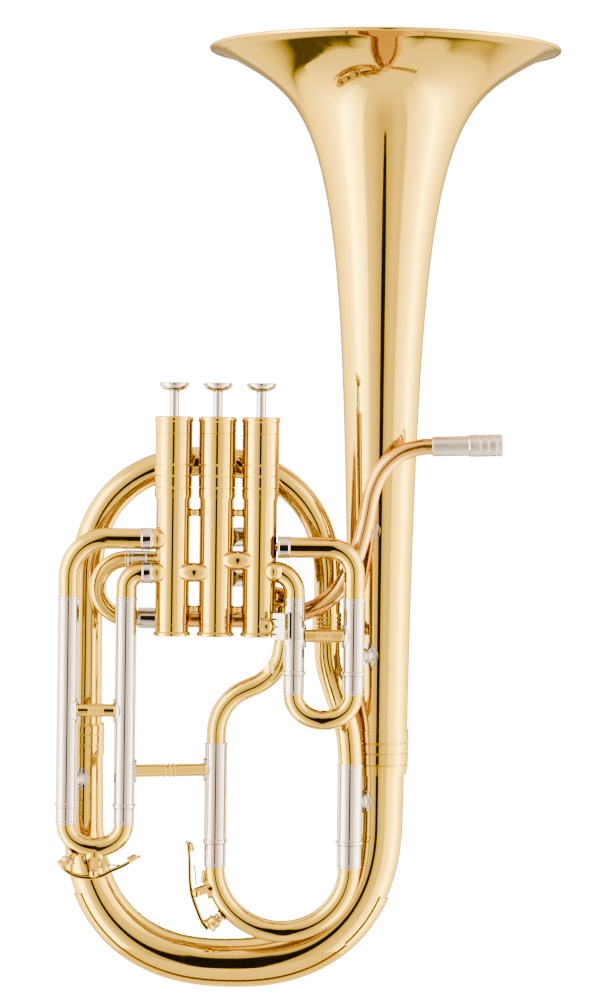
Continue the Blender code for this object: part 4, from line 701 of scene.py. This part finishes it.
def make_loop(back, low):
    """The leadpipe's sleeve, and the loop that turns up and comes forward into the third valve."""
    high, x, entry, lead = 124.3, -145.2, -30.8, 3.5
    radius, steps = (high - low) / 2, 40
    profile = [(0, 5.5), (0, 6.1), (10.3, 6.1), (10.3, 4.8)]
    fit(turned("loop_sleeve", profile, (-128.9, back, low), -RIGHT), "nickel", nodes=["leadpipe_loop"])
    route = [Vector((-138.2, back, low))]
    for i in range(steps + 1):
        angle = math.pi * i / steps
        share = (1 - math.cos(angle)) / 2
        route.append(Vector((x - radius * math.sin(angle), back + (entry + lead - back) * share,
                             low + radius - radius * math.cos(angle))))
    route.append(Vector((valve_x(3), entry, high)))
    piece = drawn("loop_tube", route, [4.9] * len(route))
    combined(piece, "DIFFERENCE", casing_space(3))
    fit(tidied(piece, 0), "brass", nodes=["leadpipe_loop"])
    start = Vector((x, entry + lead, high))
    run = route[-1] - start
    for i, (share, length) in enumerate(((-0.02, 2.6), (0.13, 9.2))):
        collar(f"loop_collar_{i}", start + run * share, run, 4.95, length)


# Braces

def flange(name, spot, way, axis, radius, width=9.5, height=13.4, finish="nickel", thickness=1.0, body="horn"):
    """An oval plate bent to a tube: spot is on the tube's axis, way points out of it."""
    spot, way, axis = Vector(spot), Vector(way).normalized(), Vector(axis).normalized()
    reach, low, high = height / 2 + 2, radius - 0.3, radius + thickness
    shell = [(-reach, low), (-reach, high), (reach, high), (reach, low)]
    plate = turned(name, shell, spot, axis, WIDE_SIDES, True, 0)
    oval = drawn("oval", [spot, spot + way * (radius + 4)], [width / 2, width / 2], WIDE_SIDES)
    opened(oval)
    bpy.ops.transform.resize(
        value=(1, 1, height / width), orient_matrix=facing(axis).to_matrix(), center_override=spot * MM,
    )
    bpy.ops.object.mode_set(mode="OBJECT")
    combined(plate, "INTERSECT", oval)
    fit(tidied(plate, 0.3, 3), finish, body)


def rod(name, start, end, radius, rings, finish="brass"):
    """A brace's rod with turned rings: (share of the length, offset from there, half width, radius)."""
    start, end = Vector(start), Vector(end)
    length = (end - start).length
    profile = [(0, radius)]
    for share, offset, half, high in rings:
        profile += bead(length * share + offset, half, radius, high)
    profile += [(length, radius)]
    fit(turned(f"{name}_rod", profile, start, end - start, edge=0.08), finish, nodes=[f"{name}_brace"])


def make_braces():
    """The rods between the tubes, and their flanges."""
    fine = [(0.5, 1.6 * (i - 2.5), 0.4, 4.1) for i in range(6)]
    for name, xs, z, slant in (("third_legs", THIRD_X, 38.4, 0.0), ("first_legs", FIRST_X, 82.3, 0.9)):
        rod(name, (xs[0] + 6.0, SLIDE_Y - slant, z), (xs[1] - 6.0, SLIDE_Y + slant, z), 3.75, fine)
        for i, (x, side) in enumerate(zip(xs, (1, -1))):
            flange(f"{name}_plate_{i}", (x, SLIDE_Y, z), (side, -0.35, 0), UP, SLEEVE_RADIUS)
    z = 4.0
    start, end = Vector((THIRD_X[1], SLIDE_Y, z)), Vector((MAIN_X[0], MAIN_Y, z))
    way = (end - start).normalized()
    rings = [(0, 16.0, 0.45, 3.2), (0, 17.05, 0.5, 4.15), (0, 18.1, 0.45, 3.2), (0, 19.2, 0.45, 3.2),
             (0, 20.3, 0.5, 4.15), (0, 21.4, 0.4, 3.2), (0, 22.8, 0.5, 4.15), (0, 23.9, 0.45, 3.2)]
    rod("long", start + way * 6.0, end - way * 6.2, 3.7, rings)
    flange("long_plate_0", start, way, UP, SLEEVE_RADIUS)
    flange("long_plate_1", end, -way, UP, MAIN_RADII[0])
    for name, spot, radius, z, axis, carrier in (
        ("first_bell", (FIRST_X[1], SLIDE_Y), SLEEVE_RADIUS, 70.0, (0, 0), bell_radius(70.0)),
        ("main_bow", (MAIN_X[1], MAIN_Y), MAIN_RADII[1], -14.6, (0, 0), 15.7),
        ("third_bow", (THIRD_X[0], SLIDE_Y), SLEEVE_RADIUS, -3.0, (BOW_X, RING_Y), 10.9),
    ):
        start, end = Vector((*spot, z)), Vector((*axis, z))
        way = (end - start).normalized()
        rod(name, start + way * (radius - 0.4), end - way * (carrier - 0.4), 2.6, [(0.5, 0, 0.9, 3.4)], "nickel")
        flange(f"{name}_plate_0", start, way, UP, radius)
        flange(f"{name}_plate_1", end, -way, UP, carrier, 12.0, thickness=1.2)
        seat = [(0, 4.7), (0.7, 4.7), (1.0, 3.9), (1.7, 3.8), (2.2, 3.0), (3.4, 2.7)]
        fit(turned(f"{name}_seat", seat, end - way * (carrier + 1.0), -way, SMALL_SIDES), "nickel")
    z = 141.9
    start, end, carrier = Vector((-9.8, -26.8, z)), Vector((0, 0, z)), bell_radius(z)
    way = (end - start).normalized()
    rod("leadpipe", start + way * 4.4, end - way * (carrier - 0.4), 3.0, [], "nickel")
    flange("leadpipe_plate", end, -way, UP, carrier, 13.5, 13.5, thickness=1.3)


# Lyre socket

def make_lyre():
    """The socket's box stands a little turned, and its thumb screw comes in from the left."""
    x, y, z = -56.4, -51.3, 88.1
    turn = (0, 0, math.radians(-25))
    block = box("lyre_box", (x, y, z), (7.6, 6.6, 15.0), 0, turn=turn)
    combined(block, "DIFFERENCE", box("slot", (x, y, z), (4.6, 3.6, 19.0), 0, turn=turn))
    for step in (-4.4, -0.2, 4.0):
        notch = box("notch", (x - 3.1, y - 1.2, z + step), (3.4, 6.6, 1.0), 0, turn=turn)
        combined(block, "DIFFERENCE", notch)
    fit(tidied(block, 0.25, 3), "nickel", nodes=["lyre_socket"])
    flange("lyre_plate", (FIRST_X[0], SLIDE_Y, z), (-0.42, -1, 0), UP, SLEEVE_RADIUS, 12.5, 23.0)
    head = [(2.9, 1.5), (4.6, 1.5), (4.8, 2.6), (5.6, 3.6), (6.6, 4.1), (9.0, 4.15), (10.4, 3.9), (11.3, 3.0),
            (11.7, 1.4), (11.75, 0)]
    screw = turned("lyre_thumb_screw", head, (x, y - 0.4, z), -RIGHT, SMALL_SIDES)
    fit(screw, "brass", "lyre_screw_body", ["lyre_screw"])


# Water keys

def bow_spot(centre, half, depth, degrees):
    """A point on a slide bow's centre line and the way out from it, by its angle from the left leg."""
    angle = math.radians(degrees)
    spot = centre - Vector((half * math.cos(angle), 0, depth * math.sin(angle)))
    return spot, -Vector((math.cos(angle) / half, 0, math.sin(angle) / depth)).normalized()


def strip(name, line, width, thickness):
    """A flat bar along a line in the XZ plane, which tapers by a list of thicknesses, one for each point."""
    steps = 6
    route = flowing(line, steps)
    spans = []
    for before, after in zip(thickness, thickness[1:]):
        spans += [before + (after - before) * i / steps for i in range(steps)]
    piece = drawn(name, route, [span / math.sqrt(2) for span in spans + thickness[-1:]], 4, quarter=math.pi / 4)
    opened(piece)
    bpy.ops.transform.resize(value=(1, width / thickness[0], 1), center_override=route[0] * MM)
    bpy.ops.object.mode_set(mode="OBJECT")
    return tidied(piece, 0.76, 3)


def make_water_key(label, bow, radius, drain, seat, lever, pad, spring, block, back):
    """A lever on a saddle on the slide's bow, with a corked cup over the drain.

    Drain is its angle on the bow; seat is the saddle's angle and the pivot's distance. Lever and spring are
    (x, z) lines from the pivot, pad is (x, z, length, thickness, degrees), block is (place, size, degrees)
    and back is the radius of the cup's back. Flat faces stand askew, or they mirror the dark gap."""
    askew = 0.25
    slide, key = f"{label}_slide_body", f"{label}_key_body"
    across = Vector((0, 1, 0))
    saddle, out = bow_spot(*bow, seat[0])
    reach = seat[1]
    pivot = saddle + out * reach
    spot, outward = bow_spot(*bow, drain)
    nipple_end = spot + outward * (radius + 3.6)
    profile = [(0, 3.7), (1.0, 3.6), (1.2, 2.5), (2.1, 2.5), (2.3, 3.1), (3.2, 3.1), (3.6, 2.6), (3.6, 1.2),
               (1.0, 1.2), (0.9, 0)]
    fit(turned(f"{label}_key_nipple", profile, spot + outward * radius, outward, SMALL_SIDES), "brass", slide)
    cork = turned(f"{label}_key_pad", [(0.3, 3.2), (3.1, 3.2), (3.1, 0)], nipple_end, outward, SMALL_SIDES)
    fit(cork, "cork", key, [f"{label}_water_key_cork"])
    cup = [(1.2, 3.45), (1.2, 4.1), (1.6, 4.3), (2.1, 4.3), (2.5, 4.0), (3.3, 4.05), (4.4, back - 0.7),
           (5.3, back - 0.15), (5.9, back), (6.5, back - 0.1), (6.9, back - 0.9), (7.1, 0)]
    dish = turned(f"{label}_key_cup", cup, nipple_end, outward, SMALL_SIDES)
    hollow = drawn("hollow", [nipple_end, nipple_end + outward * 3.3], [3.4, 3.4], SMALL_SIDES)
    fit(tidied(combined(dish, "DIFFERENCE", hollow), 0.1), "brass", key)
    line = [pivot + Vector((x, 0, z)) for x, z in lever]
    arm = strip("arm", line, 5.2, [2.2] * (len(line) - 5) + [2.1, 2.0, 1.9, 1.8, 1.6])
    x, z, length, thickness, degrees = pad
    touch = box("touch", pivot + Vector((x, 0, z)), (length, 7.5, thickness), 0.9, 4,
                (0, math.radians(degrees), askew))
    barrel = turned("barrel", [(-3.4, 1.9), (-3.2, 2.2), (3.2, 2.2), (3.4, 1.9)], pivot, across, SMALL_SIDES)
    fit(joined(f"{label}_key_lever", arm, touch, barrel), "brass", key, [f"{label}_water_key"])
    turn = (0, math.atan2(-out.x, -out.z), askew)
    cheeks = []
    for side in (-1, 1):
        middle = saddle + out * ((radius - 1.5 + reach + 1.9) / 2) + across * side * 4.4
        cheek = box("cheek", middle, (4.4, 1.6, reach + 3.4 - radius), 0, turn=turn)
        slot = box("slot", middle + across * side * 0.8 - out * 0.6, (1.0, 0.8, 4.0), 0, turn=turn)
        cheeks.append(tidied(combined(cheek, "DIFFERENCE", slot), 0.3, 3))
    ball_radius = 2.45
    knob = [(0, 1.4)] + [(1.5 + ball_radius * math.sin(math.radians(a)), ball_radius * math.cos(math.radians(a)))
                         for a in range(-38, 89, 14)] + [(1.5 + ball_radius, 0)]
    ball = turned("ball", knob, pivot - across * 4.9, -across, SMALL_SIDES, edge=0)
    combined(ball, "DIFFERENCE", box("notch", pivot - across * 8.9, (0.6, 1.4, 6.0), 0, turn=(0, 0.12, 0)))
    profile = [(-1, 1.0), (0, 1.0), (0, 1.9), (1.0, 1.9), (1.4, 1.2), (1.4, 0)]
    nut = turned("nut", profile, pivot + across * 5.1, across, SMALL_SIDES)
    pin = turned("pin", [(-5, 0.7), (5, 0.7)], pivot, across, PIN_SIDES, edge=0)
    place, size, degrees = block
    post = box("post", place, size, 1.2, 5, (0, math.radians(degrees), askew))
    fit(joined(f"{label}_key_saddle", *cheeks, tidied(ball, 0.1), nut, pin, post), "brass", slide)
    flange(f"{label}_key_foot", saddle, out, out.cross(across), radius, 10.5, 12.0, "brass", 1.5, slide)
    wire = flowing([pivot + Vector((x, 0, z)) for x, z in spring])
    fit(pipe(f"{label}_key_wire", wire, 0.55, WIRE_SIDES), "steel", key, [f"{label}_key_spring"])


def make_water_keys():
    half = (THIRD_X[1] - THIRD_X[0]) / 2
    centre = Vector((sum(THIRD_X) / 2, SLIDE_Y, THIRD_FOOT - VALVE_FERRULE))
    make_water_key(
        "third", (centre, half, THIRD_DEPTH), VALVE_BOW_RADIUS, 55, (90, 14.1),
        [(-19.6, 4.4), (-15.6, 0.6), (-10.5, -2.0), (-4.8, -2.9), (0, -2.7), (5.0, -1.4), (9.3, 0.9), (13.9, 2.8),
         (18.9, 5.3), (23.2, 8.0), (26.4, 9.6)],
        (21.6, 8.3, 5.8, 2.6, -29),
        ((2.3, 2.6), (5.2, 3.7), (9.2, 4.3), (13.2, 4.1), (14.6, 4.3)),
        ((-155.8, SLIDE_Y, -47.0), (5.4, 5.0, 7.0), -20), 5.4,
    )
    half = (MAIN_X[1] - MAIN_X[0]) / 2
    centre = Vector((sum(MAIN_X) / 2, MAIN_Y, MAIN_FOOT - MAIN_FERRULE))
    make_water_key(
        "main", (centre, half, MAIN_DEPTH), 5.9, 40, (17, 12.2),
        [(6.5, -21.5), (2.8, -16.6), (-0.5, -8.9), (-3.0, -1.7), (-3.9, 3.1), (-4.4, 9.1), (-4.7, 19.2),
         (-5.4, 26.1), (-6.6, 29.3)],
        (-3.7, 25.8, 2.2, 5.2, -12),
        ((-0.6, 3.4), (-0.7, 6.4), (-1.2, 10.9), (-1.9, 15.2)),
        ((-99.3, MAIN_Y, -57.8), (2.8, 4.0, 7.4), 8), 4.6,
    )


# Studio

def make_floor():
    """A round sheet of pale paper under the horn, which glows only to the camera. Lengths are in metres."""
    bpy.ops.object.select_all(action="DESELECT")
    bpy.ops.mesh.primitive_circle_add(vertices=96, radius=0.095, fill_type="NGON", location=(-0.085, 0, -0.15))
    floor = settled(bpy.context.object, "floor")
    paper = bpy.data.materials.new("pale_paper")
    paper.use_nodes = True
    nodes, links = paper.node_tree.nodes, paper.node_tree.links
    shader = nodes["Principled BSDF"]
    shader.inputs["Base Color"].default_value = (0.72, 0.68, 0.62, 1)
    shader.inputs["Roughness"].default_value = 0.9
    shader.inputs["Emission Color"].default_value = (1, 1, 1, 1)
    glow = nodes.new("ShaderNodeMath")
    glow.operation = "MULTIPLY"
    glow.inputs[1].default_value = 18
    links.new(nodes.new("ShaderNodeLightPath").outputs["Is Camera Ray"], glow.inputs[0])
    links.new(glow.outputs[0], shader.inputs["Emission Strength"])
    floor.data.materials.append(paper)


def make_camera():
    """A long lens in front of the valves, tipped down a little. Lengths are in metres."""
    bpy.ops.object.camera_add(
        location=(-0.0445, -1.850, 0.1995), rotation=(math.radians(90), math.radians(-0.7), 0)
    )
    camera = bpy.context.object
    camera.name = "camera"
    camera.data.lens = 114.36
    camera.data.sensor_width = 36
    camera.data.shift_y = -0.07
    camera.data.clip_end = 20
    bpy.context.scene.camera = camera


def make_light():
    """Softboxes to the left and right of the camera, a dark gap between them and a white room behind.

    Turn is the angle round the horn from straight before it, rise is the angle up from level, both in degrees,
    and a ramp is a list of (degrees, light)."""
    world = bpy.data.worlds.new("light_tent")
    world.use_nodes = True
    bpy.context.scene.world = world
    tree = world.node_tree
    links = tree.links

    def plug(socket, value):
        """Gives a socket a number or colour, or links it to an output."""
        if isinstance(value, (int, float, tuple)):
            socket.default_value = value
        else:
            links.new(value, socket)

    def step(operation, *values):
        node = tree.nodes.new("ShaderNodeMath")
        node.operation = operation
        for socket, value in zip(node.inputs, values):
            plug(socket, value)
        return node.outputs[0]

    def blend(factor, first, second):
        node = tree.nodes.new("ShaderNodeMix")
        node.data_type = "RGBA"
        for socket, value in (("Factor", factor), ("A", first), ("B", second)):
            plug(node.inputs[socket], value)
        return node.outputs["Result"]

    def glow(light):
        """The lamps are white and the dim walls between them are warm."""
        white = min(1.0, max(0.0, (light - 15.0) / 13.0))
        return light, light * (0.79 + 0.18 * white), light * (0.58 + 0.40 * white), 1

    def even(light):
        return light, light, light, 1

    def ramp(value, low, high, stops, colour=even):
        node = tree.nodes.new("ShaderNodeValToRGB")
        span = high - low
        elements = node.color_ramp.elements
        elements.remove(elements[1])
        elements[0].position = (stops[0][0] - low) / span
        elements[0].color = colour(stops[0][1])
        for place, light in stops[1:]:
            elements.new((place - low) / span).color = colour(light)
        mapped = tree.nodes.new("ShaderNodeMapRange")
        mapped.inputs["From Min"].default_value = low
        mapped.inputs["From Max"].default_value = high
        links.new(value, mapped.inputs["Value"])
        links.new(mapped.outputs["Result"], node.inputs["Fac"])
        return node.outputs["Color"]

    parts = tree.nodes.new("ShaderNodeSeparateXYZ")
    links.new(tree.nodes.new("ShaderNodeTexCoord").outputs["Generated"], parts.inputs["Vector"])
    x, y, z = parts.outputs
    turn = step("DEGREES", step("ARCTAN2", x, step("MULTIPLY", y, -1.0)))
    either_side = step("ABSOLUTE", turn)
    rise = step("DEGREES", step("ARCSINE", z))

    # The lamps and walls round the horn, and the even light over and under them
    boxes = ramp(turn, -180, 180, [
        (-180, 3.9), (-150, 4.8), (-130, 8.2), (-101, 12.5), (-85, 16.8), (-72, 30.0), (-57, 22.5), (-42, 15.5),
        (-37, 6.3), (-22, 4.5), (-9, 2.8), (9, 3.0), (22, 4.6), (36, 4.3), (41, 9.7), (57, 12.5), (70, 16.8),
        (85, 27.0), (101, 18.5), (120, 10.4), (150, 4.8), (180, 3.9),
    ], glow)
    cap = ramp(rise, -90, 90, [(-74, 1.0), (-46, 0.0), (35, 0.0), (50, 1.0)])
    # The dark gap round the camera, which narrows downwards; tall is its foot and its top
    narrow = ramp(rise, -90, 90, [(-38, 0.35), (-22, 0.55), (-4, 1.0), (25, 1.0)])
    gap = ramp(step("DIVIDE", turn, narrow), -90, 90, [(-7.0, 1.0), (-5.4, 0.0), (5.4, 0.0), (7.0, 1.0)])
    tall = ramp(rise, -90, 90, [(-41, 1.0), (-37, 0.0), (24, 0.0), (28, 1.0)])
    # The room behind is dim from a little below level to 35 degrees up
    away = ramp(either_side, 0, 180, [(0, 1.0), (142, 1.0), (162, 0.26), (180, 0.16)])
    under = ramp(rise, -90, 90, [(-17, 1.0), (-10, 0.0), (35, 0.0), (50, 1.0)])
    # A dark arc behind and below, which sinks towards the middle and shows on the bell's flare
    sides = ramp(turn, -180, 180, [(-180, 0.04), (-147, 0.04), (-137, 1.0), (149, 1.0), (154, 0.04), (180, 0.04)])
    edge = ramp(either_side, 0, 180, [(0, 46), (145, 46), (149, 52), (156, 57), (163, 62), (180, 64)])
    level = ramp(step("ADD", rise, edge), -90, 90, [(-2, 1.0), (0, 0.0), (9, 0.0), (19, 0.7), (28, 1.0)])

    light = step("MULTIPLY", step("MAXIMUM", gap, tall), step("MAXIMUM", away, under))
    light = step("MULTIPLY", light, step("MAXIMUM", sides, level))
    room = blend(light, (0.03, 0.025, 0.02, 1), blend(cap, boxes, glow(5.35)))
    seen = blend(tree.nodes.new("ShaderNodeLightPath").outputs["Is Camera Ray"], room, (20, 20, 20, 1))
    links.new(seen, tree.nodes["Background"].inputs["Color"])


make_camera()
make_light()
make_floor()
make_bell()
make_bow()
make_branch()
for number in (1, 2, 3):
    make_valve(number)
make_valve_links()
make_valve_slides()
make_main_slide()
make_feed_tube()
make_leadpipe()
make_braces()
make_lyre()
make_water_keys()
# Pistons and valve springs keep their own shapes
for name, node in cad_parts.items():
    for kind, finish in (("valve_spring", "steel"), ("piston", "nickel")):
        if name.startswith(kind):
            for place in node.material_slots:
                place.material = FINISH[finish]
